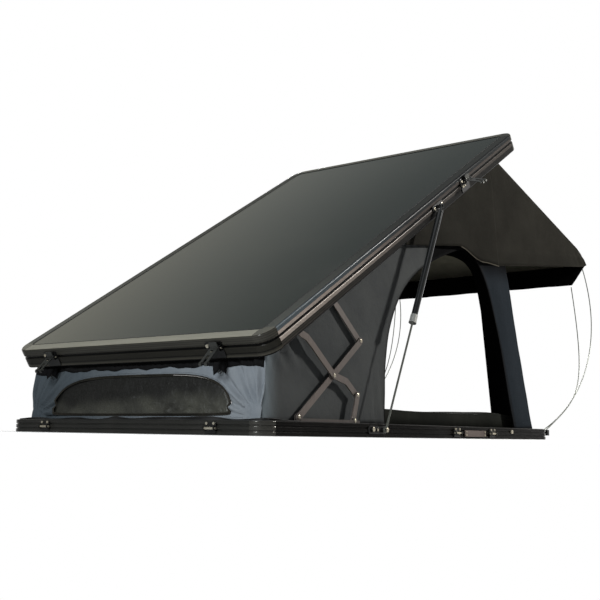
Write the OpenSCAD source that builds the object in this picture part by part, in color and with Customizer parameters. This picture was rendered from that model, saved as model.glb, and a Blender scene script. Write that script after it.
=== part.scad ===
/* [Base] */
// Length of the base tray
base_l = 2100; // [1900:10:2300]
// Width of the base tray
base_w = 1310; // [1200:10:1450]
// Height of the base rails
base_h = 48; // [46:1:56]
// Width of the base rails
base_rail_w = 30; // [26:1:36]
// Wall of the hollow rails
rail_wall = 2.4; // [1.8:0.1:3]
// Plan radius of the corner castings
corner_r = 60; // [58:1:80]
// Width of the ledge that carries the floor
ledge_w = 25; // [15:1:27]
// Thickness of the ledge
ledge_t = 4; // [3:0.5:6]
// Height of the floor panel's underside
floor_z = 26; // [20:1:28]
// Thickness of the floor panel
floor_t = 14; // [10:1:16]
// Width of a roof mounting channel
mount_w = 40; // [34:1:60]
// Distance of a mounting channel from the middle
mount_y = 400; // [250:10:480]
// Spacing of the mounting holes along a channel
mount_span = 1000; // [600:10:1400]
// Radius of a mounting hole
mount_hole_r = 4.5; // [3.5:0.25:6.5]

/* [Lid] */
// How far the lid stands in from the base all round
lid_inset = 3; // [1:0.5:6]
// Height of the lid rails
lid_h = 80; // [76:1:100]
// Width of the lid rails
lid_rail_w = 26; // [22:1:28]
// Width of the border strip on top of the lid
lid_border_w = 47; // [40:1:52]
// Thickness of the border strip
lid_flange_t = 7; // [5:0.5:9]
// Gap between the closed lid and the base, filled by the seal
lid_gap = 2; // [1:0.5:4]
// Thickness of the lid's top sheet
lid_skin_t = 1.5; // [1:0.25:3]
// Thickness of the insulating core
lid_core_t = 12; // [8:1:16]
// Thickness of the inner lining
lid_liner_t = 4; // [2:0.5:6]
// Tilt of the open lid
lid_angle = 32.2; // [28:0.1:36]
// Shift of the open lid's low edge from the base's low end
lid_shift = 46; // [40:1:52]
// Height of the open lid's low edge
lid_rise = 250; // [240:1:262]

/* [Hinge arms] */
// Place of the main arm's foot from the low end
foot_x = 246; // [236:1:256]
// Height of the main arm's foot
foot_z = 64; // [62:1:68]
// Angle of the main arm when open
arm_open = 38.5; // [37:0.1:40]
// Angle of the main arm when closed
arm_closed = 1; // [0:0.1:2]
// Distance from the main arm's foot to the crossing pin
arm_cross = 240; // [234:1:248]
// Length of the main arm
arm_len = 459; // [445:1:470]
// Height of the cross arm's pivot in the lid
cross_pivot_n = 30; // [27:0.5:34]
// Height of the upper link's pivot in the lid
link_pivot_n = 31; // [28:0.5:36]
// Height of the lower link's foot
link_foot_z = 58; // [55:0.5:62]
// Length of the cross arm's tail
tail_len = 149; // [142:1:156]
// Angle of the cross arm's tail when open
tail_angle = -25; // [-28:0.5:-22]
// Width of the hinge bars
bar_w = 24; // [20:1:26]
// Thickness of the hinge bars
bar_t = 5; // [4:0.25:5.5]
// Gap between neighbouring hinge bars
bar_gap = 2; // [1.6:0.1:2.4]
// Diameter of the hinge pins
pin_d = 8; // [6:0.5:10]
// Diameter of the rivet heads
rivet_d = 17; // [13:0.5:20]
// Radial clearance of the pins in their bores
pin_fit = 0.05; // [0.02:0.01:0.1]

/* [Gas struts] */
// Place of the strut's foot from the low end
strut_foot_x = 665; // [640:1:690]
// Height of the strut's foot
strut_foot_z = 27; // [24:1:30]
// Place of the strut's head along the lid
strut_head_u = 1232; // [1200:1:1260]
// Height of the strut's head on the lid
strut_head_n = 36; // [30:1:42]
// Distance of the strut's axis from the base's side
strut_out = 17; // [15:0.5:22]
// Diameter of the strut's rod
rod_d = 8; // [6:0.5:10]
// Diameter of the strut's cylinder
tube_d = 25; // [22:0.5:27]
// Wall of the strut's cylinder
tube_wall = 2; // [1.5:0.25:2.5]
// Length of the strut's cylinder
tube_l = 512; // [490:1:516]
// Diameter of the strut's eyes
eye_d = 20; // [18:0.5:24]
// Width of the strut's eyes
eye_w = 10; // [8:0.5:12]

/* [Latches] */
// Distance of the end latches from the middle
latch_y = 430; // [350:5:500]
// Place of the side latches along the lid
latch_u = 1511; // [1450:1:1600]
// Width of a latch lever
lever_w = 38; // [32:1:44]
// Thickness of a latch lever
lever_t = 2.5; // [2:0.25:3.5]
// Distance from a lever's pin to its hooks
lever_l = 76; // [74:0.5:80]
// How far a resting lever stands out from hanging down
lever_rest = 75; // [60:1:85]
// Distance of a latch's pin from the lid's face
latch_out = 11; // [10:0.5:14]
// Height of a latch's pin on the lid
latch_n = 48; // [44:1:54]
// Diameter of a keeper's barrel
barrel_d = 9; // [7:0.5:10]
// Clearance of a lever's hook round the barrel
hook_fit = 1.1; // [0.8:0.1:1.6]
// Distance of the spare side keeper from the side latch
keeper_step = 303; // [260:1:340]

/* [Tent] */
// Thickness of the tent cloth
cloth_t = 3; // [2:0.25:4]
// Distance of the side walls from the hinge's inner bracket
wall_gap = 2; // [1:0.5:5]
// Place of the front wall's foot from the low end
front_x = 52; // [48:1:56]
// Lean of the rear wall for each unit of height
rear_lean = 0.346; // [0.3:0.002:0.45]
// Distance of the rear wall's foot from the high end
rear_in = 60; // [54:1:120]
// Half width of the front window
window_a = 460; // [380:1:480]
// Height of the front window
window_b = 122; // [90:1:130]
// Height of the front window's lower edge
window_z = 72; // [64:1:80]
// Left edge of the side door from the low end
door_x0 = 795; // [760:1:900]
// Distance of the side door's right foot from the rear wall's foot
door_back = 172; // [160:1:280]
// Height of the side door's arch
door_z = 800; // [760:1:820]
// Half width of the rear door
rear_door_half = 432; // [380:1:460]
// Height of the rear door's arch
rear_door_z = 886; // [820:1:920]
// Height where the rear door's sides begin to curve
rear_spring_z = 600; // [500:5:680]
// Depth of the wall cloth's folds
fold_d = 5; // [0:0.5:7]
// Thickness of the mattress
mattress_t = 60; // [40:1:62]
// Gap between the mattress and the walls
mattress_gap = 18; // [12:1:40]

/* [Awning] */
// Distance from the lid's high end to where the hood's roof leaves its underside
hood_back = 155; // [134:1:194]
// Reach of the hood beyond the base's high end
hood_reach = 621; // [560:1:660]
// Height of the hood's front edge
hood_front_z = 935; // [900:1:960]
// Drop of the front valance
valance_drop = 117; // [80:1:140]
// How far the valance's hem hangs back from its top
valance_back = 90; // [40:1:120]
// How far the valance narrows to each side at its hem
valance_taper = 38; // [0:1:60]
// Distance of the hood's sides in from the base's sides
hood_in = 55; // [51:1:65]
// Length of the side skirts at their hem
skirt_l = 780; // [700:5:820]
// Diameter of the spring rods
bow_d = 5; // [4:0.25:6]
// Distance of the rods' sockets from the base's high end
socket_out = 12; // [11:0.5:16]

/* [Hidden] */
$fn = 48;

anodised = [0.10, 0.10, 0.10];
satin_black = [0.13, 0.13, 0.12];
zinc = [0.62, 0.60, 0.56];
brass_grey = [0.78, 0.74, 0.64];
cloth_grey = [0.30, 0.33, 0.36];
cloth_dark = [0.17, 0.17, 0.16];
rubber_black = [0.05, 0.05, 0.05];

// Small clearances between pieces of one body and between cloth and frame
seat = 0.3;
slack = 1;
over = 1;
// Step that keeps a flat face from only touching a round one
flat_in = 0.04;

// Sizes that follow from the driving dimensions
lid_l = base_l - 2 * lid_inset;
lid_w = base_w - 2 * lid_inset;
closed_z = base_h + lid_gap;
floor_top = floor_z + floor_t;
lid_side = lid_w / 2;
base_side = base_w / 2;
rear_x = base_l - rear_in;
door_x1 = rear_x - door_back;
door_top_x = door_x1 - 535;
hood_u = lid_l - hood_back;
hood_y = base_side - hood_in;
lid_core_bottom = lid_h - 1 - lid_skin_t - lid_core_t;
lid_liner_bottom = lid_core_bottom - lid_liner_t;
cloth_top_n = lid_liner_bottom - seat;

// Plane vectors and the lid's two positions
function turn(a, p) = [cos(a) * p[0] - sin(a) * p[1], sin(a) * p[0] + cos(a) * p[1]];
function open_to_lid(p) = turn(-lid_angle, p - [lid_shift, lid_rise]);
function lid_to_open(p) = turn(lid_angle, p) + [lid_shift, lid_rise];
function shut_to_lid(p) = p - [lid_inset, closed_z];
function lid_to_shut(p) = p + [lid_inset, closed_z];
function heading(a, b) = atan2(b[1] - a[1], b[0] - a[0]);
// Point at height v that is as far from a as from b
function level_point(a, b, v) =
  [(a[0] + b[0]) / 2 - (v - (a[1] + b[1]) / 2) * (b[1] - a[1]) / (b[0] - a[0]), v];

// Pivots of the crossed hinge, open, and the closed ones that fix the rest
foot = [foot_x, foot_z];
cross_open = foot + turn(arm_open, [arm_cross, 0]);
cross_shut = foot + turn(arm_closed, [arm_cross, 0]);
tip_open = foot + turn(arm_open, [arm_len, 0]);
tip_shut = foot + turn(arm_closed, [arm_len, 0]);
cross_lid = level_point(open_to_lid(cross_open), shut_to_lid(cross_shut), cross_pivot_n);
link_lid = level_point(open_to_lid(tip_open), shut_to_lid(tip_shut), link_pivot_n);
cross_head = lid_to_open(cross_lid);
link_head = lid_to_open(link_lid);
cross_turn = heading(lid_to_shut(cross_lid), cross_shut) - heading(cross_head, cross_open);
tail_open = cross_open + turn(tail_angle, [tail_len, 0]);
tail_shut = cross_shut + turn(tail_angle + cross_turn, [tail_len, 0]);
link_foot = level_point(tail_open, tail_shut, link_foot_z);

// Layers of the hinge, from the outer plate inwards
hinge_y = base_side - base_rail_w - 2;
layer_step = bar_t + bar_gap;
function layer_y(k) = hinge_y - k * layer_step;
head_t = 0.9;
head_gap = 0.3;
wall_y = layer_y(5) - bar_t - wall_gap;

// Gas strut ends
strut_y = base_side + strut_out;
strut_foot = [strut_foot_x, strut_foot_z];
strut_head = lid_to_open([strut_head_u, strut_head_n]);
strut_angle = heading(strut_foot, strut_head);
strut_open_l = norm(strut_head - strut_foot);
strut_shut_l = norm(lid_to_shut([strut_head_u, strut_head_n]) - strut_foot);
stud_r = eye_d / 4;
neck_d = eye_w - 0.5;
tube_end = eye_d / 2 + 14;
piston_x = strut_open_l - tube_end - tube_l + 40;

// Latch places: edge offset and side, in the order of the lever nodes
keeper_z = closed_z + latch_n - lever_l;
side_keeper_x = latch_u + lid_inset;

module from_low_end() {
  translate([-base_l / 2, 0, 0]) children();
}

module on_lid() {
  translate([-base_l / 2 + lid_shift, 0, lid_rise]) rotate([0, -lid_angle, 0]) children();
}

module both_sides() {
  children();
  mirror([0, 1, 0]) children();
}

// Flat plate in the X-Z plane whose outer face is at y
module upright(y, t) {
  translate([0, y, 0]) rotate([90, 0, 0]) linear_extrude(t) children();
}

// Cylinder along Y from y0 to y1
module y_pin(p, r, y0, y1) {
  translate([p[0], y0, p[1]]) rotate([-90, 0, 0]) cylinder(r = r, h = y1 - y0);
}

module round_rect(w, h, r) {
  translate([r, 0]) square([w - 2 * r, h]);
  translate([0, r]) square([w, h - 2 * r]);
  for (x = [r, w - r], y = [r, h - r]) translate([x, y]) circle(r);
}

module centred_rect(w, h, r) {
  translate([-w / 2, -h / 2]) round_rect(w, h, r);
}

// Bar of round ends between two points
module bar(a, b, w) {
  translate(a) rotate(heading(a, b)) translate([0, flat_in - w / 2])
    square([norm(b - a), w - 2 * flat_in]);
  translate(a) circle(w / 2);
  translate(b) circle(w / 2);
}

// Chain of bars through a list of points
module bar_chain(points, w) {
  for (i = [0 : len(points) - 2]) bar(points[i], points[i + 1], w);
}

// Rails of the base: three ridges outside, a ledge for the floor inside
ridge_gap = 3;
ridge_h = (base_h - 2 * ridge_gap) / 3;
ridge_t = 12;
ridge_round = 3;
web_out = 4;

module base_profile() {
  difference() {
    union() {
      translate([-base_rail_w, 0]) square([base_rail_w - web_out, base_h]);
      for (i = [0 : 2])
        translate([-ridge_t, i * (ridge_h + ridge_gap)]) round_rect(ridge_t, ridge_h, ridge_round);
      translate([-base_rail_w - ledge_w, floor_z - ledge_t]) square([ledge_w + over, ledge_t]);
    }
    translate([-base_rail_w + rail_wall, rail_wall])
      square([base_rail_w - web_out - 2 * rail_wall, base_h - 2 * rail_wall]);
  }
}

// Rails of the lid: two ridges with a groove between them, a border strip on top
lid_split = 45;
lid_groove = 4;
lid_ridge_t = 16;

module lid_profile() {
  low_h = lid_split - lid_groove / 2;
  high_h = lid_h - lid_split - lid_groove / 2;
  difference() {
    union() {
      translate([-lid_rail_w, 0]) square([lid_rail_w - 10, lid_h]);
      translate([-lid_rail_w, 10]) square([lid_rail_w - web_out, lid_h - 20]);
      translate([-lid_ridge_t, 0]) round_rect(lid_ridge_t, low_h, 6);
      translate([-lid_ridge_t, lid_h - high_h]) round_rect(lid_ridge_t, high_h, 7);
      translate([-lid_border_w, lid_h - lid_flange_t])
        square([lid_border_w - lid_rail_w + over, lid_flange_t]);
    }
    translate([-lid_rail_w + rail_wall, rail_wall + 4])
      square([lid_rail_w - web_out - 2 * rail_wall, low_h - 2 * rail_wall - 4]);
    translate([-lid_rail_w + rail_wall, lid_h - high_h + rail_wall])
      square([lid_rail_w - web_out - 2 * rail_wall, high_h - 2 * rail_wall - lid_flange_t]);
  }
}

// Straight rail along X, outer face at y = 0
module rail(l) {
  rotate([90, 0, 90]) linear_extrude(l) children();
}

// Rail along one side or one end of a frame of size l by w
module side_rail(l, w) {
  translate([corner_r, w / 2, 0]) rail(l - 2 * corner_r) children();
}

module low_rail(w) {
  translate([0, corner_r - w / 2, 0]) rotate([0, 0, 90]) rail(w - 2 * corner_r) children();
}

module high_rail(l, w) {
  translate([l, w / 2 - corner_r, 0]) rotate([0, 0, -90]) rail(w - 2 * corner_r) children();
}

module corner_set(l, w) {
  for (c = [[l, 1, 0], [0, 1, 90], [0, -1, 180], [l, -1, 270]])
    translate([c[0] == 0 ? corner_r : l - corner_r, c[1] * (w / 2 - corner_r), 0])
      rotate([0, 0, c[2]]) rotate_extrude(angle = 90) translate([corner_r, 0]) children();
}

module base_rail_low() {
  color(anodised) from_low_end() low_rail(base_w) base_profile();
}

module base_rail_high() {
  color(anodised) from_low_end() high_rail(base_l, base_w) base_profile();
}

module base_rail_left() {
  color(anodised) from_low_end() side_rail(base_l, base_w) base_profile();
}

module base_rail_right() {
  color(anodised) from_low_end() mirror([0, 1, 0]) side_rail(base_l, base_w) base_profile();
}

module base_corners() {
  color(anodised) from_low_end() corner_set(base_l, base_w) base_profile();
}

module floor_panel() {
  color([0.2, 0.2, 0.2]) translate([0, 0, floor_z]) linear_extrude(floor_t)
    centred_rect(base_l - 2 * base_rail_w - 2 * seat, base_w - 2 * base_rail_w - 2 * seat,
      corner_r - base_rail_w - seat);
}

// Open channels under the floor with the holes for the roof bars' bolts
channel_t = 3;

module mounting_rails() {
  rail_l = base_l - 2 * (base_rail_w + ledge_w) - 2 * slack;
  color([0.35, 0.35, 0.36]) both_sides() translate([-rail_l / 2, mount_y, 0]) difference() {
    rail(rail_l) difference() {
      translate([-mount_w / 2, 0]) square([mount_w, floor_z]);
      translate([-mount_w / 2 + channel_t, channel_t]) square([mount_w - 2 * channel_t, floor_z]);
    }
    for (s = [-1, 1]) translate([rail_l / 2 + s * mount_span / 2, 0, -over])
      cylinder(r = mount_hole_r, h = channel_t + 2 * over);
  }
}

// Triangles of a two-sided grid of m by n cells, with its rim; wrap joins the last row to the first
function grid_faces(m, n, wrap) =
  let (rows = wrap ? m : m + 1, cols = n + 1, half = rows * cols)
  let (id = function(i, j, k) k * half + (i % rows) * cols + j)
  concat(
    [for (i = [0 : m - 1], j = [0 : n - 1], s = [0, 1])
      s == 0 ? [id(i, j, 0), id(i, j + 1, 0), id(i + 1, j, 0)]
             : [id(i + 1, j, 0), id(i, j + 1, 0), id(i + 1, j + 1, 0)]],
    [for (i = [0 : m - 1], j = [0 : n - 1], s = [0, 1])
      s == 0 ? [id(i, j, 1), id(i + 1, j, 1), id(i, j + 1, 1)]
             : [id(i + 1, j, 1), id(i + 1, j + 1, 1), id(i, j + 1, 1)]],
    [for (i = [0 : m - 1], s = [0, 1])
      s == 0 ? [id(i, 0, 0), id(i + 1, 0, 0), id(i, 0, 1)]
             : [id(i + 1, 0, 0), id(i + 1, 0, 1), id(i, 0, 1)]],
    [for (i = [0 : m - 1], s = [0, 1])
      s == 0 ? [id(i, n, 0), id(i, n, 1), id(i + 1, n, 0)]
             : [id(i + 1, n, 0), id(i, n, 1), id(i + 1, n, 1)]],
    wrap ? [] : [for (j = [0 : n - 1], s = [0, 1])
      s == 0 ? [id(0, j, 0), id(0, j, 1), id(0, j + 1, 0)]
             : [id(0, j + 1, 0), id(0, j, 1), id(0, j + 1, 1)]],
    wrap ? [] : [for (j = [0 : n - 1], s = [0, 1])
      s == 0 ? [id(m, j, 0), id(m, j + 1, 0), id(m, j, 1)]
             : [id(m, j + 1, 0), id(m, j + 1, 1), id(m, j, 1)]]);

// Foam mattress: crowned, drawn in at the sides, with sewn channels across it
mattress_x0 = front_x + cloth_t + fold_d + mattress_gap;
mattress_x1 = rear_x - rear_lean * mattress_t - cloth_t - fold_d - mattress_gap;
mattress_half = wall_y - cloth_t - 2 * fold_d - mattress_gap;
channels = 4;

module mattress() {
  m = 24;
  n = 12;
  crown = 6;
  rim = 9;
  channel_d = 4;
  draw_in = 0.008;
  edge = function(s) 1 - pow(abs(2 * s - 1), 8);
  put = function(i, j, k)
    let (a = i / m, b = j / n, full = sin(180 * a) * sin(180 * b))
    let (seam = i > 0 && i < m && i % (m / channels) == 0 ? channel_d * edge(b) : 0)
    let (side = mattress_half * (2 * b - 1) * (1 - draw_in * sin(180 * a) * abs(2 * b - 1)))
    [mix(mattress_x0, mattress_x1, a), side,
      k == 1 ? floor_top
        : floor_top + mattress_t - crown - rim + (rim + crown * full) * edge(a) * edge(b) - seam];
  points = [for (k = [0, 1], i = [0 : m], j = [0 : n]) put(i, j, k)];
  color([0.36, 0.37, 0.38]) from_low_end() polyhedron(points, grid_faces(m, n, false));
}

// Rubber seal on top of the base rails
seal_w = 8;
seal_in = 11;

module base_seal() {
  color(rubber_black) translate([0, 0, base_h]) linear_extrude(lid_gap - seat) difference() {
    centred_rect(base_l - 2 * seal_in, base_w - 2 * seal_in, corner_r - seal_in);
    centred_rect(base_l - 2 * (seal_in + seal_w), base_w - 2 * (seal_in + seal_w),
      corner_r - seal_in - seal_w);
  }
}

// Foot bracket of the hinge: an outer plate for the lower link and an inner ear for the main arm
module hinge_base_side() {
  plate_x0 = foot[0] - 22;
  plate_x1 = link_foot[0] + 30;
  ear_y = layer_y(4);
  pad_h = base_h - floor_top - slack;
  rim_z = base_h + 4;
  web_t = 3;
  upright(hinge_y, bar_t) {
    translate([plate_x0, floor_top]) square([plate_x1 - plate_x0, rim_z - floor_top]);
    bar([plate_x0 + 8, rim_z], [plate_x1 - 8, rim_z], 16);
    bar([link_foot[0], floor_top + rivet_d / 2 + 4], link_foot, rivet_d + 8);
  }
  upright(hinge_y + 2, 2 + seat) translate([plate_x0, floor_top]) square([plate_x1 - plate_x0, pad_h]);
  translate([plate_x0, ear_y - bar_t, floor_top]) cube([2 * bar_w + 4, hinge_y - ear_y + bar_t, web_t]);
  upright(ear_y, bar_t) {
    translate([foot[0] - bar_w / 2, floor_top]) square([bar_w, foot[1] - floor_top]);
    translate(foot) circle(bar_w / 2);
  }
  y_pin(foot, pin_d / 2, ear_y - over, layer_y(3) + head_gap + head_t);
  y_pin(foot, rivet_d / 2, layer_y(3) + head_gap, layer_y(3) + head_gap + head_t);
  y_pin(link_foot, pin_d / 2, layer_y(1) - bar_t - head_gap - head_t, hinge_y);
  y_pin(link_foot, rivet_d / 2, layer_y(1) - bar_t - head_gap - head_t, layer_y(1) - bar_t - head_gap);
  for (p = [[plate_x0 + 10, rim_z], link_foot]) y_pin(p, rivet_d / 2 - 1, hinge_y - over, hinge_y + 1.6);
}

module hinge_base_left() {
  color([0.36, 0.34, 0.32]) from_low_end() hinge_base_side();
}

module hinge_base_right() {
  color([0.36, 0.34, 0.32]) from_low_end() mirror([0, 1, 0]) hinge_base_side();
}

// Lid brackets of the hinge, drawn in the lid's own frame
module hinge_lid_side() {
  web_y = lid_side - lid_rail_w;
  roof_n = lid_liner_bottom;
  upright(web_y, web_y - hinge_y + bar_t) {
    translate(cross_lid - [bar_w, 14]) round_rect(2 * bar_w, roof_n - cross_lid[1] + 14, 6);
  }
  y_pin(cross_lid, rivet_d / 2, layer_y(2) + head_gap, hinge_y - bar_t + over);
  inner = layer_y(5);
  upright(inner, bar_t) translate(link_lid - [bar_w, 14])
    round_rect(2 * bar_w, roof_n - link_lid[1] + 14, 6);
  translate([link_lid[0] - bar_w, inner - bar_t, roof_n - 2]) cube([2 * bar_w, web_y - inner + bar_t, 2]);
  y_pin(link_lid, rivet_d / 2, inner - over, layer_y(4) - bar_t - head_gap);
}

module hinge_lid_left() {
  color([0.36, 0.34, 0.32]) on_lid() hinge_lid_side();
}

module hinge_lid_right() {
  color([0.36, 0.34, 0.32]) on_lid() mirror([0, 1, 0]) hinge_lid_side();
}

// Main arm with the crossing pin and the tip pin fixed in it
module main_arm_side() {
  y1 = layer_y(3);
  y0 = y1 - bar_t;
  difference() {
    upright(y1, bar_t) bar(foot, tip_open, bar_w);
    y_pin(foot, pin_d / 2 + pin_fit, y0 - over, y1 + over);
  }
  y_pin(cross_open, pin_d / 2, y1 - over, layer_y(2) + head_gap + head_t);
  y_pin(cross_open, rivet_d / 2, layer_y(2) + head_gap, layer_y(2) + head_gap + head_t);
  y_pin(tip_open, rivet_d / 2, y1 - over, y1 + head_t);
  y_pin(tip_open, pin_d / 2, layer_y(4) - bar_t - head_gap - head_t, y0 + over);
  y_pin(tip_open, rivet_d / 2, layer_y(4) - bar_t - head_gap - head_t, layer_y(4) - bar_t - head_gap);
}

module main_arm_left() {
  color([0.40, 0.38, 0.35]) from_low_end() main_arm_side();
}

module main_arm_right() {
  color([0.40, 0.38, 0.35]) from_low_end() mirror([0, 1, 0]) main_arm_side();
}

// Cross arm: an S-shaped upper half and a bowed tail
cross_step = 13;
tail_bow = 16;

module cross_arm_side() {
  y1 = layer_y(2);
  up = heading(cross_open, cross_head);
  up_l = norm(cross_head - cross_open);
  tail_mid = (cross_open + tail_open) / 2 + turn(tail_angle + 90, [tail_bow, 0]);
  bends = [for (s = [[0.55, 0.9], [0.68, 1], [0.8, 0.2]])
    cross_open + turn(up, [s[0] * up_l, -s[1] * cross_step])];
  difference() {
    upright(y1, bar_t)
      bar_chain(concat([tail_open, tail_mid, cross_open], bends, [cross_head]), bar_w);
    y_pin(cross_open, pin_d / 2 + pin_fit, y1 - bar_t - over, y1 + over);
    y_pin(cross_head, pin_d / 2, y1 - bar_t - over, y1 + over);
  }
}

module cross_arm_left() {
  color([0.42, 0.40, 0.37]) from_low_end() cross_arm_side();
}

module cross_arm_right() {
  color([0.42, 0.40, 0.37]) from_low_end() mirror([0, 1, 0]) cross_arm_side();
}

module lower_link_side() {
  y1 = layer_y(1);
  difference() {
    upright(y1, bar_t) bar(link_foot, tail_open, bar_w);
    y_pin(link_foot, pin_d / 2 + pin_fit, y1 - bar_t - over, y1 + over);
  }
  y_pin(tail_open, rivet_d / 2, y1 - over, y1 + head_t);
  y_pin(tail_open, rivet_d / 2, layer_y(2) + head_gap, y1 - bar_t + over);
}

module lower_link_left() {
  color([0.40, 0.38, 0.35]) from_low_end() lower_link_side();
}

module lower_link_right() {
  color([0.40, 0.38, 0.35]) from_low_end() mirror([0, 1, 0]) lower_link_side();
}

module upper_link_side() {
  y1 = layer_y(4);
  difference() {
    upright(y1, bar_t) bar(tip_open, link_head, bar_w);
    y_pin(tip_open, pin_d / 2 + pin_fit, y1 - bar_t - over, y1 + over);
    y_pin(link_head, pin_d / 2, y1 - bar_t - over, y1 + over);
  }
}

module upper_link_left() {
  color([0.42, 0.40, 0.37]) from_low_end() upper_link_side();
}

module upper_link_right() {
  color([0.42, 0.40, 0.37]) from_low_end() mirror([0, 1, 0]) upper_link_side();
}

// Gas struts: foot bracket, rod with its piston, cylinder with its eye, head bracket
foot_plate_t = 4;

module strut_feet() {
  eye_y0 = strut_y - eye_w / 2;
  color(anodised) from_low_end() both_sides() {
    upright(base_side + foot_plate_t, foot_plate_t) translate([strut_foot_x - 88, strut_foot_z - 15])
      round_rect(112, 30, 8);
    y_pin([strut_foot_x - 67, strut_foot_z + 2], 10, base_side + 1, base_side + foot_plate_t + 7);
    y_pin([strut_foot_x - 40, strut_foot_z], 6, base_side + 1, base_side + foot_plate_t + 5);
    y_pin(strut_foot, stud_r + 3, base_side + 1, eye_y0 - head_gap);
    y_pin(strut_foot, stud_r, base_side + 1, eye_y0 + eye_w + 3);
    y_pin(strut_foot, stud_r + 3, eye_y0 + eye_w + head_gap, eye_y0 + eye_w + 3);
  }
}

// Frame along the strut: X from the foot's pivot towards the head
module along_strut() {
  from_low_end() translate([strut_foot[0], strut_y, strut_foot[1]]) rotate([0, -strut_angle, 0]) children();
}

module strut_eye() {
  rotate([90, 0, 0]) cylinder(d = eye_d, h = eye_w, center = true);
}

piston_t = 12;

module strut_rod_side() {
  difference() {
    union() {
      strut_eye();
      rotate([0, 90, 0]) cylinder(d = neck_d, h = eye_d / 2 + 8);
      rotate([0, 90, 0]) cylinder(d = rod_d, h = piston_x);
      translate([piston_x - piston_t, 0, 0]) rotate([0, 90, 0])
        cylinder(d = tube_d - 2 * tube_wall - 2 * pin_fit, h = piston_t);
    }
    rotate([90, 0, 0]) cylinder(r = stud_r + pin_fit, h = eye_w + 2 * over, center = true);
  }
}

module strut_rod_left() {
  color(zinc) along_strut() strut_rod_side();
}

module strut_rod_right() {
  color(zinc) mirror([0, 1, 0]) along_strut() strut_rod_side();
}

module strut_tube_side() {
  gland_t = 14;
  x1 = strut_open_l - tube_end;
  x0 = x1 - tube_l;
  translate([x0, 0, 0]) rotate([0, 90, 0]) difference() {
    cylinder(d = tube_d, h = tube_l);
    translate([0, 0, gland_t]) cylinder(d = tube_d - 2 * tube_wall, h = tube_l - gland_t - 6);
    translate([0, 0, -over]) cylinder(r = rod_d / 2 + pin_fit, h = gland_t + 2 * over);
  }
  difference() {
    union() {
      translate([x1 - over, 0, 0]) rotate([0, 90, 0])
        cylinder(d = neck_d, h = tube_end - eye_d / 2 + 2 * over);
      translate([strut_open_l, 0, 0]) strut_eye();
    }
    translate([strut_open_l, 0, 0]) rotate([90, 0, 0])
      cylinder(r = stud_r + pin_fit, h = eye_w + 2 * over, center = true);
  }
}

module strut_tube_left() {
  color([0.06, 0.06, 0.06]) along_strut() strut_tube_side();
}

module strut_tube_right() {
  color([0.06, 0.06, 0.06]) mirror([0, 1, 0]) along_strut() strut_tube_side();
}

module strut_heads() {
  head = [strut_head_u, strut_head_n];
  color(anodised) on_lid() both_sides() {
    upright(lid_side + foot_plate_t, foot_plate_t) translate(head - [44, 15]) round_rect(88, 30, 8);
    y_pin(head, stud_r + 2, lid_side + 1, strut_y - eye_w / 2 - head_gap);
    for (s = [-1, 1]) y_pin(head + [s * 32, 0], 7, lid_side + 1, lid_side + foot_plate_t + 2.5);
  }
}

// Latches, drawn at an edge: X along it, Y outwards, Z up from the lid's or the base's underside
module at_low_end(y) {
  translate([0, y, 0]) rotate([0, 0, 90]) children();
}

module at_high_end(l, y) {
  translate([l, y, 0]) rotate([0, 0, -90]) children();
}

module at_left_side(x, half) {
  translate([x, half, 0]) children();
}

module at_right_side(x, half) {
  translate([x, -half, 0]) rotate([0, 0, 180]) children();
}

module at_lid_latches() {
  at_low_end(latch_y) children();
  at_low_end(-latch_y) children();
  at_high_end(lid_l, latch_y) children();
  at_high_end(lid_l, -latch_y) children();
  at_left_side(latch_u, lid_side) children();
  at_right_side(latch_u, lid_side) children();
}

module at_base_keepers() {
  at_low_end(latch_y) children();
  at_low_end(-latch_y) children();
  at_high_end(base_l, latch_y) children();
  at_high_end(base_l, -latch_y) children();
  for (x = [side_keeper_x, side_keeper_x - keeper_step]) {
    at_left_side(x, base_side) children();
    at_right_side(x, base_side) children();
  }
}

// Cylinder along X from x0 to x1
module x_pin(y, z, r, x0, x1) {
  translate([x0, y, z]) rotate([0, 90, 0]) cylinder(r = r, h = x1 - x0);
}

ear_t = 4;
ear_x = lever_w / 2 + slack;
latch_pin_r = 3;
bolt_x = ear_x + ear_t + 14;
bolt_step = 11;
bolt_r = 6;
bolt_n = latch_n - 4;

module latch_bracket() {
  plate_h = lid_h - 20;
  difference() {
    union() {
      translate([-ear_x - ear_t - 2, 4, 8]) rotate([90, 0, 0]) linear_extrude(4)
        round_rect(ear_x + ear_t + bolt_x + 13, plate_h, 6);
      for (x = [-ear_x - ear_t, ear_x]) translate([x, 0, latch_n - 10]) {
        translate([0, 3, 0]) cube([ear_t, latch_out - 3, 20]);
        translate([0, latch_out, 10]) rotate([0, 90, 0]) cylinder(r = 10, h = ear_t);
      }
    }
    x_pin(latch_out, latch_n, latch_pin_r, -ear_x - ear_t - over, ear_x + ear_t + over);
  }
}

module latch_brackets() {
  color(rubber_black) on_lid() at_lid_latches() latch_bracket();
}

module latch_pins() {
  color(brass_grey) on_lid() at_lid_latches() {
    x_pin(latch_out, latch_n, latch_pin_r, -ear_x - ear_t - 2, ear_x + ear_t + 2);
    for (s = [-1, 1]) translate([bolt_x, ear_t, bolt_n + s * bolt_step]) rotate([-90, 0, 0])
      cylinder(r = bolt_r, h = 5);
    x_pin(9, bolt_n - bolt_step, 3.5, ear_x + ear_t, bolt_x - bolt_r);
  }
}

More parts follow.
